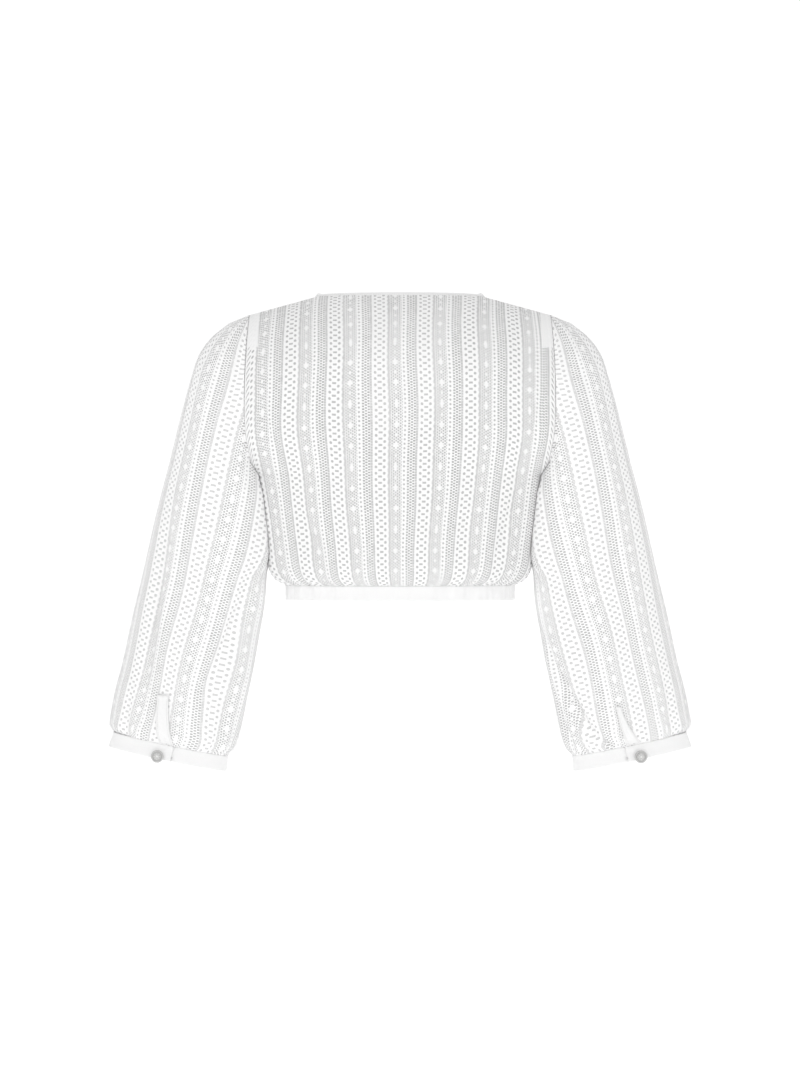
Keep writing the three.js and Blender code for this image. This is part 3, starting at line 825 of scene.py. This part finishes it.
def metal_material(name):
    """The face's own map holds the turn round it and 1 less the radius."""
    look = Look(name)
    stain = look.noise(look.place(), 420, 6)
    turn, inwards, _ = look.split(look.yardage())
    radius = 1 - inwards
    petals = abs((turn * (math.pi * PETALS)).do("COSINE"))
    flower = (petals * 0.26 + 0.24 - radius).ramp(0, 0.06) * 0.14
    heart = (0.12 - radius).ramp(-0.02, 0.02)
    groove = (0.035 - abs(radius - 0.57)).ramp(-0.02, 0.02)
    worn = flower + heart - groove * 0.2 + 0.42
    bright = low(worn + stain * 0.2, 1.0)
    look.put("Base Color", look.blend(bright, (0.2, 0.2, 0.198, 1), (0.9, 0.9, 0.89, 1)))
    look.put("Metallic", 0.6)
    look.put("Roughness", stain * 0.25 + 0.3)
    return look.material


COTTON = cotton_material("cotton", (0.965, 0.965, 0.965))
# The slit bindings are the same cotton, painted a little darker as painted shade.
SLIT_COTTON_PAINTED_SHADE = cotton_material("slit_cotton_painted_shade", (0.95, 0.95, 0.95))
# The thread is painted a darker grey than it is: painted shade, chiefly for the shade line under the cuffs'
# lower fold, where a row of stitches lies.
THREAD_WITH_PAINTED_SHADE = cotton_material("thread_with_painted_shade", (0.74, 0.74, 0.74), 0.3)
RIBBON = cotton_material("ribbon", (0.9, 0.9, 0.885), 0.35)
METAL = metal_material("antique_metal")

# %% [markdown]
# ## Back and front
# Both panels are cut from the lace with its stripes upright. The yardage across is the real length
# round the body at the height of the chest, so the stripes come closer as the body rounds away,
# and they draw together at the hem where the cloth is gathered.

# %% Back and front
PANEL_CELLS = (132, 120)
CHEST = -140


def turn_of(across):
    return math.radians(mix(-90, 90, across))


def panel_yardage(face):
    columns, rows = PANEL_CELLS
    shares = [i / columns for i in range(columns + 1)]
    level = [body_point(face, turn_of(a), CHEST, creased=False) for a in shares]
    cross = running_length(level)
    half = cross[-1] / 2
    ups = []
    for a in shares:
        column = [body_at(face, turn_of(a), j / rows) for j in range(rows + 1)]
        ups.append(running_length(column))
    return [c - half for c in cross], ups


def make_panel(name, node, face):
    across_mm, up_mm = panel_yardage(face)
    columns, rows = PANEL_CELLS

    def cloth_side(across):
        return across if face < 0 else 1 - across

    def place(across, up):
        return body_at(face, turn_of(cloth_side(across)), up)

    def yardage(across, up):
        i = round(cloth_side(across) * columns)
        length = up_mm[i][round(up * rows)]
        wander = 0.8 * math.sin(length / 41 + across_mm[i] / 60)
        wander += 0.5 * math.sin(length / 19 - across_mm[i] / 33)
        return (across_mm[i] + wander) * MM, length * MM

    piece = cloth_grid(name, columns, rows, place, yardage, CLOTH)
    return dress(piece, LACE_BODY_PAINTED_DARKER, node)


def sheet_area(piece):
    return sum(polygon.area for polygon in piece.data.polygons)


PANEL_FLATS = {
    # piece: node, face, flat size, area
    "back_lace": ("back_panel", -1, (0.47, 0.37), 0.135),
    "front_lace": ("front_panel", 1, (0.49, 0.37), 0.13),
}
for name, (node, face, flat, area) in PANEL_FLATS.items():
    panel = make_panel(name, node, face)
    print(name, "area", round(sheet_area(panel), 4), "faces", len(panel.data.polygons))

# %% [markdown]
# ## Sleeves
# Each sleeve is one piece with a seam under the arm. Its stripes run straight down the arm, so the
# yardage is measured square to the arm's own line, and over the round head it follows the cloth.

# %% Sleeves
SLEEVE_CELLS = (150, 150)
SLEEVE_MIDDLE = (233, 3, -270)
SLEEVE_HALF = (74, 55)
YARDAGE_RADIUS = 62.0
HANDS = {"left": -1, "right": 1}


def sleeve_yardage(side):
    columns, rows = SLEEVE_CELLS
    down = Vector((side * math.sin(SLEEVE_TILT), 0, -math.cos(SLEEVE_TILT)))
    outwards = Vector((side * math.cos(SLEEVE_TILT), 0, math.sin(SLEEVE_TILT)))
    start = Vector((side * SHOULDER_HALF, 0, SHOULDER_TOP))
    middle_x, forward, middle_z = SLEEVE_MIDDLE
    middle = Vector((side * middle_x, forward, middle_z))
    half_width, half_depth = SLEEVE_HALF
    ridge = running_length([sleeve_point(side, 0, j / rows, small=False) for j in range(rows + 1)])

    def measure(angle, along):
        point = sleeve_point(side, angle, along, small=False)
        near_cuff = sleeve_frame(max(along * len(SLEEVE), 1))[2]
        depth = mix(half_depth, near_cuff, smooth((along - 0.72) / 0.2))
        across = (point - middle).dot(outwards) / half_width
        turned = math.atan2((forward - point.y) / depth, across) % (2 * math.pi)
        if angle > math.pi * 1.5 and turned < math.pi * 0.5:
            turned += 2 * math.pi
        if angle < math.pi * 0.5 and turned > math.pi * 1.5:
            turned -= 2 * math.pi
        plain = (point - start).dot(down)
        over_head = max(math.cos(angle), 0) ** 2
        length = mix(plain, ridge[round(along * rows)], over_head * (1 - smooth(along * 2)))
        low = smooth((along - 0.35) / 0.4)
        wander = 1.2 * math.sin(length / 38 + 2 * angle)
        wander += 0.9 * low * math.sin(length / 21 - 3 * angle + side)
        return turned * YARDAGE_RADIUS + wander, -length

    return measure


def make_sleeve(name, node, side):
    columns, rows = SLEEVE_CELLS
    measure = sleeve_yardage(side)

    def angle_of(across):
        """The seam lies under the arm, at half a turn from the shoulder."""
        turned = across if side < 0 else 1 - across
        return (math.pi + 2 * math.pi * turned) % (2 * math.pi)

    def place(across, up):
        return sleeve_point(side, angle_of(across), 1 - up)

    def yardage(across, up):
        u, v = measure(angle_of(across), 1 - up)
        return u * MM, v * MM

    piece = cloth_grid(name, columns, rows, place, yardage, CLOTH, wrap=True)
    return dress(piece, LACE_SLEEVE_PAINTED_LIGHTER, node)


for hand, side in HANDS.items():
    sleeve = make_sleeve(f"sleeve_{hand}_lace", f"sleeve_{hand}", side)
    print(sleeve.name, "area", round(sheet_area(sleeve), 4), "faces", len(sleeve.data.polygons))

# %% [markdown]
# ## Folded strips
# The neck binding, the hem casing and the cuffs are strips folded over an edge. One helper makes
# them all: a sheet whose rows run up the outside, round the fold and back down the inside.

# %% Helper for a folded strip
FOLDED_CLOTH = 0.45
SEAM_COVER = 1.2


def folded_path(height, thick, start=0.0, outside=0.3, rows=(7, 6, 5)):
    """Points (height, depth inwards) up the outer layer, round the fold and down the inner one."""
    rise, turn, fall = rows
    radius = (thick + outside) / 2
    path = [(mix(start, height - radius, k / rise), -outside) for k in range(rise)]
    for k in range(turn + 1):
        angle = math.pi * k / turn
        path.append((height - radius + radius * math.sin(angle), radius - outside - radius * math.cos(angle)))
    path += [(mix(height - radius, start, k / fall), thick) for k in range(1, fall + 1)]
    return path


def folded_strip(name, columns, path, frame_at, closed, end_taper=0.0):
    """frame_at(share) gives a point on the strip's outer face at height 0, its up and its out."""
    frames = [frame_at(i / columns) for i in range(columns + 1)]
    length = running_length([f[0] for f in frames])
    rise = running_length([Vector((h, d, 0)) for h, d in path])
    rows = len(path) - 1

    def place(across, up):
        i = round(across * columns)
        point, upwards, out = frames[i]
        height, depth = path[round(up * rows)]
        if i in (0, columns):
            depth = mix(depth, path[0][1] + 0.5, end_taper)
        return point + upwards * height - out * depth

    def yardage(across, up):
        return length[round(across * columns)] * MM, rise[round(up * rows)] * MM

    return cloth_grid(name, columns, rows, place, yardage, FOLDED_CLOTH, wrap=closed)


# %% [markdown]
# ## Stitches
# Each row of machine stitching is a row of short rounded threads, laid on the cloth one after the
# other with a little slack between them.

# %% Helper for stitches
STITCH_SIZE = Vector((1.05, 0.2, 0.16))


def lay_stitches(name, spots, size=STITCH_SIZE):
    """spots holds (point, along, out) for each stitch, in mm."""
    bm = bmesh.new()
    for point, along, out in spots:
        along = along.normalized()
        side = out.cross(along).normalized()
        out = along.cross(side)
        turned = Matrix((along, side, out)).transposed().to_4x4()
        spot = Matrix.Translation(point * MM) @ turned @ Matrix.Diagonal((*(size * MM), 1))
        bmesh.ops.create_uvsphere(bm, u_segments=6, v_segments=4, radius=1, matrix=spot)
    piece = link(name, bm)
    # The dark thread of every stitch is partly painted shade.
    piece.data.materials.append(THREAD_WITH_PAINTED_SHADE)
    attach(piece, "root")


def row_of_spots(line, outs, pitch):
    """Even spots along a line of points, each with its direction and its out."""
    lengths = running_length(line)
    spots = []
    i = 0
    for k in range(int(lengths[-1] / pitch)):
        at = (k + 0.5) * pitch
        while lengths[i + 1] < at:
            i += 1
        share = (at - lengths[i]) / (lengths[i + 1] - lengths[i])
        spots.append((line[i].lerp(line[i + 1], share), line[i + 1] - line[i], outs[i]))
    return spots


def row_on_strip(frames, height, lift, pitch):
    """A row of stitches at one height of a strip, whose frames hold its edge, its up and its out."""
    line = [point + upwards * height + out * lift for point, upwards, out in frames]
    return row_of_spots(line, [out for _, _, out in frames], pitch)


# %% [markdown]
# ## The neck
# The neck is bound with a narrow folded strip that stands on the lace's edge. It runs across the
# back, over the shoulders and round the low front. At the neck points it leans inwards.

# %% Neck binding
BINDING_HEIGHT = 6.4
BINDING_THICK = 1.5
NECK_COLUMNS = 130
NECK_POINT_LEAN = 1.5
NECK_TURN = math.asin(NECK_HALF / SHOULDER_HALF)


def neck_loop():
    """Points round the neck with the direction in which the binding stands."""
    loop = []
    for face in (-1, 1):
        for k in range(NECK_COLUMNS):
            turn = mix(NECK_TURN, -NECK_TURN, k / NECK_COLUMNS) * face
            point = body_point(face, turn, top_edge(face, turn), creased=False)
            low = body_point(face, turn, top_edge(face, turn) - 6, creased=False)
            up = (point - low).normalized()
            lean = Vector((-math.copysign(NECK_POINT_LEAN, point.x), 0, 1)).normalized()
            loop.append((point, lean.lerp(up, smooth(abs(point.y) / 14))))
    return loop


def neck_frames():
    loop = neck_loop()
    count = len(loop)
    stands = [stand for _, stand in loop]
    for _ in range(4):
        stands = [(stands[i - 1] + 2 * stands[i] + stands[(i + 1) % count]) / 4 for i in range(count)]
    frames = []
    for i, (point, _) in enumerate(loop):
        along = (loop[(i + 1) % count][0] - loop[i - 1][0]).normalized()
        stand = (stands[i] - along * stands[i].dot(along)).normalized()
        frames.append((point, stand, along.cross(stand)))
    return frames


def make_neck_binding():
    frames = neck_frames()
    count = len(frames)
    path = folded_path(BINDING_HEIGHT, BINDING_THICK, start=-0.3)

    def frame_at(share):
        return frames[round(share * count) % count]

    piece = folded_strip("neck_band", count, path, frame_at, closed=True)
    dress(piece, COTTON, "neck_binding")
    length = running_length([f[0] for f in frames])[-1]
    lay_stitches("neck_stitches", row_on_strip(frames, 1.3, 0.42, 2.7))
    print("neck binding", round(length), "mm round")


make_neck_binding()

# %% [markdown]
# ## The hem
# An elastic runs in a folded casing under the gathered lace, so the casing is puckered too. Its
# puckers are those of the lace above, with finer ones between.

# %% Hem casing
HEM_COLUMNS = 480
CASING_THICK = 1.9
CASING_TOP = HEM_TOP - SEAM_GAP - LAY_GAP
CASING_HEIGHT = CASING_TOP - HEM_BOTTOM


def hem_frame(share):
    turned = 2 * math.pi * share
    face = -1 if math.cos(turned) >= 0 else 1
    turn = math.asin(clamp(math.sin(turned), -1, 1))
    plain = body_point(face, turn, HEM_TOP, creased=False)
    pucker = 0.75 * hem_gather(face, turn, HEM_TOP)
    pucker -= 0.3 * abs(math.sin(40 * turned + math.sin(7 * turned)))
    out = Vector((math.sin(turned) * 0.9, face * math.cos(turn), 0)).normalized()
    return Vector((plain.x, plain.y, CASING_TOP)) + out * pucker, Vector((0, 0, -1)), out


def make_hem_casing():
    path = folded_path(CASING_HEIGHT, CASING_THICK, start=-SEAM_COVER, outside=0.1, rows=(10, 6, 6))
    piece = folded_strip("hem_band", HEM_COLUMNS, path, hem_frame, closed=True)
    dress(piece, COTTON, "hem_casing")
    frames = [hem_frame(i / HEM_COLUMNS) for i in range(HEM_COLUMNS + 1)]
    length = running_length([f[0] for f in frames])[-1]
    lay_stitches("hem_stitches", row_on_strip(frames, 2.2, 0.22, 2.8))
    print("hem casing", round(length), "mm round")


make_hem_casing()

# %% [markdown]
# ## Cuffs
# Each cuff is a folded band that runs once round the arm and on over its own start, where a button
# holds it. It is stitched close to its lower fold and close to its seam with the sleeve. The row close
# to the lower fold is in a thread painted dark grey, a painted shade line under the fold.

# %% Cuffs
CUFF_HEIGHT = 17
CUFF_HALF_WIDTH = 69
CUFF_HALF_DEPTH = 25
CUFF_FLARE = 2.5
CUFF_TILT = math.radians(12)
CUFF_THICK = 1.7
CUFF_COLUMNS = 240
CUFF_STITCH = 2.6
THREAD_LIFT = 0.12


def cuff_point(side, angle, down, lift):
    out_x, out_z, in_x, in_z, _, forward = SLEEVE[-1]
    middle = Vector((side * (out_x + in_x) / 2, forward, (out_z + in_z) / 2))
    outwards = Vector((side * math.cos(CUFF_TILT), 0, math.sin(CUFF_TILT)))
    downwards = Vector((side * math.sin(CUFF_TILT), 0, -math.cos(CUFF_TILT)))
    flare = CUFF_FLARE * down / CUFF_HEIGHT + lift
    across = outwards * ((CUFF_HALF_WIDTH + flare) * math.cos(angle))
    lower = downwards * (down + SEAM_GAP + LAY_GAP)
    return middle + across + lower - Vector((0, (CUFF_HALF_DEPTH + flare) * math.sin(angle), 0))


def cuff_frame(side, share):
    overlap = SLITS[side][5]
    turned = (share if side < 0 else 1 - share) * (2 * math.pi + CUFF_OVERLAP)
    lift = CUFF_LAYER * smooth((turned - 2 * math.pi + 2 * CUFF_OVERLAP) / CUFF_OVERLAP)
    angle = math.radians(overlap) - CUFF_OVERLAP + turned
    lift += 0.25 * math.sin(11 * turned) * math.sin(2.3 * turned)
    top = cuff_point(side, angle, 0, lift)
    low = cuff_point(side, angle, CUFF_HEIGHT, lift)
    out = (cuff_point(side, angle, 0, lift + 1) - top).normalized()
    return top, (low - top).normalized(), out


def make_cuff(hand, side):
    path = folded_path(CUFF_HEIGHT, CUFF_THICK, start=-SEAM_COVER, outside=0.0, rows=(9, 6, 6))
    frames = [cuff_frame(side, i / CUFF_COLUMNS) for i in range(CUFF_COLUMNS + 1)]
    name = f"cuff_{hand}_band"

    def frame_at(share):
        return frames[round(share * CUFF_COLUMNS)]

    piece = folded_strip(name, CUFF_COLUMNS, path, frame_at, closed=False, end_taper=0.8)
    dress(piece, COTTON, f"cuff_{hand}")
    length = running_length([f[0] for f in frames])[-1]
    spots = row_on_strip(frames, 1.6, THREAD_LIFT, CUFF_STITCH)
    # The row close to the lower fold: its dark thread is painted shade for the shade line under the fold.
    spots += row_on_strip(frames, CUFF_HEIGHT - 1.1, THREAD_LIFT, CUFF_STITCH)
    lay_stitches(f"cuff_{hand}_stitches", spots + end_stitches(frames, side))
    print(name, round(length), "mm long")


def end_stitches(frames, side):
    """The row of stitches down the end of the band that shows."""
    at = len(frames) - 3 if side < 0 else 2
    top, down, out = frames[at]
    heights = [mix(1.6, CUFF_HEIGHT - 1.9, k / 12) for k in range(13)]
    line = [top + down * height + out * THREAD_LIFT for height in heights]
    return row_of_spots(line, [out] * len(line), CUFF_STITCH)


for hand, side in HANDS.items():
    make_cuff(hand, side)

# %% [markdown]
# ## Slits
# A sleeve opens above its cuff in a short slit that is bound with a strip. It lies flat and calm
# on the sleeve, and its two layers meet on a line along its middle.

# %% Slit bindings
SLIT_LIFT = 1.9
SLIT_CROWN = 0.35
SLIT_CLOTH = 1.1
SLIT_STITCH = 2.5
SLIT_CELLS = (12, 40)


def make_slit(hand, side):
    top_angle, foot_angle, top_half, foot_half, top, _, _ = SLITS[side]
    columns, rows = SLIT_CELLS
    outwards = Vector((0, -1, 0))

    def place(across, up):
        sideways = (2 if side < 0 else -2) * (across - 0.5)
        down = 1 - up
        half = mix(top_half, foot_half, down)
        angle = math.radians(mix(top_angle, foot_angle, down) + half * sideways)
        rim = sleeve_point(side, angle, mix(top, SLIT_FOOT, down), small=False)
        crown = SLIT_CROWN * (1 - (2 * abs(sideways) - 1) ** 4)
        return rim + outwards * ((SLIT_LIFT + crown) / math.sin(angle))

    length = running_length([place(0.5, j / rows) for j in range(rows + 1)])[-1]
    width = (place(0, 0) - place(1, 0)).length

    def yardage(across, up):
        return across * width * MM, up * length * MM

    piece = cloth_grid(f"slit_{hand}_strip", columns, rows, place, yardage, SLIT_CLOTH)
    dress(piece, SLIT_COTTON_PAINTED_SHADE, f"slit_binding_{hand}")
    spots = []
    for across in (0.14, 0.86):
        edge = [place(across, 0.03 + 0.94 * j / rows) for j in range(rows + 1)]
        line = [point + outwards * THREAD_LIFT for point in edge]
        spots += row_of_spots(line, [outwards] * len(line), SLIT_STITCH)
    lay_stitches(f"slit_{hand}_stitches", spots)
    print(piece.name, round(length), "mm long and", round(width), "mm wide at the foot")


for hand, side in HANDS.items():
    make_slit(hand, side)

# %% [markdown]
# ## Inside pieces
# A tape covers the armhole seam from within, a strip faces each side of the front neckline, and a
# blank label is sewn under the back neck. All of them show faintly through the lace.

# %% Armhole tapes, facings and label
TAPE_WIDTH = 10
TAPE_REACH = math.radians(100)
TAPE_START = 0.5
TAPE_BODY_CURVE = 70
TAPE_BODY_TURN = 0.22
TAPE_DEPTH = 2.5
INSET = 2.4
INSIDE_CLOTH = 0.6
FACING = (36, -31, -129)
FACING_INSET = 3
LABEL = (38, 20, 3, 3)


def armhole_frame(side, angle):
    step = 0.04
    along = (armhole_point(side, angle + step) - armhole_point(side, angle - step)).normalized()
    face = -1 if math.sin(angle) >= 0 else 1
    turn = math.pi / 2 - TAPE_BODY_TURN
    seam = armhole_point(side, angle)
    z = mix(UNDERARM, top_edge(face, turn), (1 + math.cos(angle)) / 2)
    inwards = body_point(face, side * turn, z, creased=False) - seam
    inwards = (inwards - along * inwards.dot(along)).normalized()
    out = along.cross(inwards).normalized()
    if out.dot(Vector((seam.x, seam.y, seam.z - UNDERARM))) < 0:
        out.negate()
    return seam, inwards, out


def inner_point(face, turn, z):
    def body(at_turn, at_z):
        return body_point(face, at_turn, at_z, creased=False)

    across = body(turn + 0.03, z) - body(turn - 0.03, z)
    along = body(turn, z + 2) - body(turn, z - 2)
    out = across.cross(along).normalized() * -face
    return body(turn, z) - out * INSET


def inside_strip(name, node, cells, place, material=COTTON):
    columns, rows = cells
    lengths = running_length([place(0.5, j / rows) for j in range(rows + 1)])
    widths = running_length([place(i / columns, 0.5) for i in range(columns + 1)])

    def yardage(across, up):
        return widths[round(across * columns)] * MM, lengths[round(up * rows)] * MM

    piece = cloth_grid(name, columns, rows, place, yardage, INSIDE_CLOTH)
    dress(piece, material, node)


def make_inside(hand, side):
    def tape(across, up):
        angle = side * TAPE_REACH * (2 * up - 1)
        seam, inwards, out = armhole_frame(side, angle)
        reach = TAPE_START + TAPE_WIDTH * (1 - across)
        return seam + inwards * reach - out * (TAPE_DEPTH + reach * reach / TAPE_BODY_CURVE)

    def facing(across, up):
        width, top, bottom = FACING
        z = mix(bottom, top, up)
        start = read_table(NECKLINE_BY_HEIGHT, z, 1) + FACING_INSET
        x = start + width * (across if side < 0 else 1 - across)
        return inner_point(1, side * math.asin(x / read_table(BODY, z, 1)), z)

    inside_strip(f"tape_{hand}", f"armhole_tape_{hand}", (6, 80), tape)
    inside_strip(f"facing_{hand}", f"neck_facing_{hand}", (12, 40), facing)


def label_place(across, up):
    width, height, centre, drop = LABEL
    x = centre + width * (across - 0.5)
    z = NECK_TOP - drop - height * (1 - up)
    return inner_point(-1, math.asin(x / read_table(BODY, z, 1)), z)


NECKLINE_BY_HEIGHT = [(z, x) for x, z in FRONT_NECKLINE]
for hand, side in HANDS.items():
    make_inside(hand, side)
inside_strip("blank_label", "label", (16, 10), label_place, RIBBON)

# %% [markdown]
# ## Buttons
# Each cuff has one round metal button on a shank, cast with a raised flower of eight petals in a
# beaded rim. Its height at each place is worked out from the distance to its middle and the angle.

# %% Buttons
BUTTON_RADIUS = 7.5
BUTTON_DOWN = 13.8
SHANK_HEIGHT = 1.8
BEADS = 28
BUTTON_CELLS = (112, 35)
BUTTON_BACK = [
    # radius as a share of the button's, height
    (1.0, 1.7),
    (1.0, 1.1),
    (0.93, 0.45),
    (0.8, 0.1),
    (0.3, 0.0),
    (0.29, -SHANK_HEIGHT),
    (0.0, -SHANK_HEIGHT),
]
HOLE_STITCH = Vector((0.75, 0.26, 0.2))
HOLE_DOWN = BUTTON_DOWN - 1.2
HOLE_TURN = (-1.5, 13.5)


def button_relief(radius, angle):
    """Height over the button's foot at a radius from 0 to 1."""
    dome = 1.9 + 0.75 * math.sqrt(max(1 - (radius / 0.98) ** 2, 0))
    petal = abs(math.cos(angle * PETALS / 2)) ** 0.6
    reach = 0.3 + 0.34 * petal
    flower = 0.75 * smooth((reach - radius) / 0.1) * smooth((radius - 0.17) / 0.06)
    vein = 0.22 * math.exp(-((math.sin(angle * PETALS / 2) / 0.18) ** 2)) * smooth((0.6 - radius) / 0.2)
    heart = 0.85 * smooth((0.16 - radius) / 0.07)
    rim = 0.55 * smooth((radius - 0.74) / 0.05) * smooth((0.97 - radius) / 0.07)
    bead = 0.35 * (0.5 + 0.5 * math.cos(angle * BEADS))
    beads = bead * smooth((radius - 0.76) / 0.04) * smooth((0.93 - radius) / 0.05)
    return dome + flower * (1 - 0.6 * vein) + heart + rim + beads - 0.25


def button_outline(share, angle):
    """Radius and height from the middle of the face, over the rim, to the shank's foot."""
    if share < 0.8:
        radius = share / 0.8 * 0.97
        return radius * BUTTON_RADIUS, button_relief(radius, angle)
    at = (share - 0.8) / 0.2 * (len(BUTTON_BACK) - 1)
    i = min(int(round(at, 6)), len(BUTTON_BACK) - 2)
    radius, height = (mix(a, b, at - i) for a, b in zip(BUTTON_BACK[i], BUTTON_BACK[i + 1]))
    return radius * BUTTON_RADIUS, height


def make_button(hand, side):
    angle = math.radians(SLITS[side][6])
    seat = cuff_point(side, angle, BUTTON_DOWN, CUFF_LAYER)
    out = (cuff_point(side, angle, BUTTON_DOWN, CUFF_LAYER + 1) - seat).normalized()
    origin = seat + out * (SHANK_HEIGHT + LAY_GAP)
    across_dir = out.cross(Vector((0, 0, 1))).normalized()
    up_dir = across_dir.cross(out)

    def place(across, up):
        turn = 2 * math.pi * across
        radius, height = button_outline(1 - up, turn)
        flat = across_dir * (radius * math.cos(turn)) + up_dir * (radius * math.sin(turn))
        return origin + flat + out * height

    def face_map(across, up):
        return across, up

    piece = cloth_grid(f"button_{hand}_face", *BUTTON_CELLS, place, face_map, 0, wrap=True)
    dress(piece, METAL, f"button_{hand}")


def buttonhole_spots(side):
    """A worked buttonhole beside the button, as short stitches laid across its edges."""
    spots = []
    for k in range(34):
        angle = math.radians(SLITS[side][6] + mix(*HOLE_TURN, k / 33))
        for row in (-1, 1):
            down = HOLE_DOWN + row * 0.75
            seat = cuff_point(side, angle, down, CUFF_LAYER)
            point = cuff_point(side, angle, down, CUFF_LAYER + 0.15)
            out = cuff_point(side, angle, down, CUFF_LAYER + 1) - seat
            along = cuff_point(side, angle, down + 1, CUFF_LAYER) - seat
            spots.append((point, along, out.normalized()))
    return spots


for hand, side in HANDS.items():
    make_button(hand, side)
    lay_stitches(f"buttonhole_{hand}", buttonhole_spots(side), HOLE_STITCH)

# %% [markdown]
# ## The stage
# The blouse hangs in the open over a plain white floor that sweeps up behind it, in a broad, soft
# light from the front and above. The inside is left to its own shade, but in the lace's holes most
# of it is covered by a painted grey shade.

# %% Stage and light
STAGE_TONE = 0.2
STAGE_GLOW = 1.05
STAGE_HALF = (6, 4)
STAGE_MIDDLE = (0, -2.2, -1.15)
SWEEP_CENTRE = (0, 1.8, 0.05)
WALL_RISE = 4
WORLD_LIGHT = 0.66
LIGHTS_AIM = (0, 0, -0.27)
LIGHTS = {
    # name: watts, side in metres, place
    "key": (18, 1.5, (-1.2, -2.3, 1.4)),
    "fill": (9, 2.0, (1.9, -2.2, 0.5)),
}


def stage_material():
    look = Look("stage_white")
    look.put("Base Color", (STAGE_TONE, STAGE_TONE, STAGE_TONE, 1))
    look.put("Roughness", 0.9)
    look.put("Emission Color", (1, 1, 1, 1))
    look.put("Emission Strength", STAGE_GLOW)
    return look.material


def make_stage():
    """A floor and a wall with a round sweep between them, spun from one edge."""
    bm = bmesh.new()
    bmesh.ops.create_grid(bm, x_segments=1, y_segments=1, size=1)
    bmesh.ops.scale(bm, verts=bm.verts, vec=(*STAGE_HALF, 1))
    bmesh.ops.translate(bm, verts=bm.verts, vec=STAGE_MIDDLE)
    far = [e for e in bm.edges if all(v.co.y > 1.7 for v in e.verts)]
    bmesh.ops.spin(
        bm,
        geom=far,
        cent=SWEEP_CENTRE,
        axis=(1, 0, 0),
        dvec=(0, 0, 0),
        angle=math.pi / 2,
        steps=16,
        use_merge=True,
    )
    top = [e for e in bm.edges if all(v.co.y > 2.95 for v in e.verts)]
    raised = bmesh.ops.extrude_edge_only(bm, edges=top)["geom"]
    wall_top = [g for g in raised if isinstance(g, bmesh.types.BMVert)]
    bmesh.ops.translate(bm, verts=wall_top, vec=(0, 0, WALL_RISE))
    floor = link("stage_floor", bm)
    floor.data.materials.append(stage_material())
    floor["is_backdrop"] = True


def make_light(name, energy, size, location):
    data = bpy.data.lights.new(name, "AREA")
    data.energy = energy
    data.size = size
    light = bpy.data.objects.new(name, data)
    bpy.context.collection.objects.link(light)
    light.location = location
    light.rotation_euler = (Vector(LIGHTS_AIM) - Vector(location)).to_track_quat("-Z", "Y").to_euler()


def make_lights():
    for name, (energy, size, location) in LIGHTS.items():
        make_light(name, energy, size, location)
    world = bpy.data.worlds.new("studio")
    world.use_nodes = True
    world.node_tree.nodes["Background"].inputs["Color"].default_value = (1, 1, 1, 1)
    world.node_tree.nodes["Background"].inputs["Strength"].default_value = WORLD_LIGHT
    bpy.context.scene.world = world


make_stage()
make_lights()
bpy.context.scene.view_settings.view_transform = "Standard"

# %% [markdown]
# ## Sizes
# The dressed blouse has to stay in the frame's box, so both boxes are kept.

# %% Write the sizes and finish
def plain(box):
    return [list(corner) for corner in box]


{"cad": plain(CAD_BOX), "visual": plain(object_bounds())}
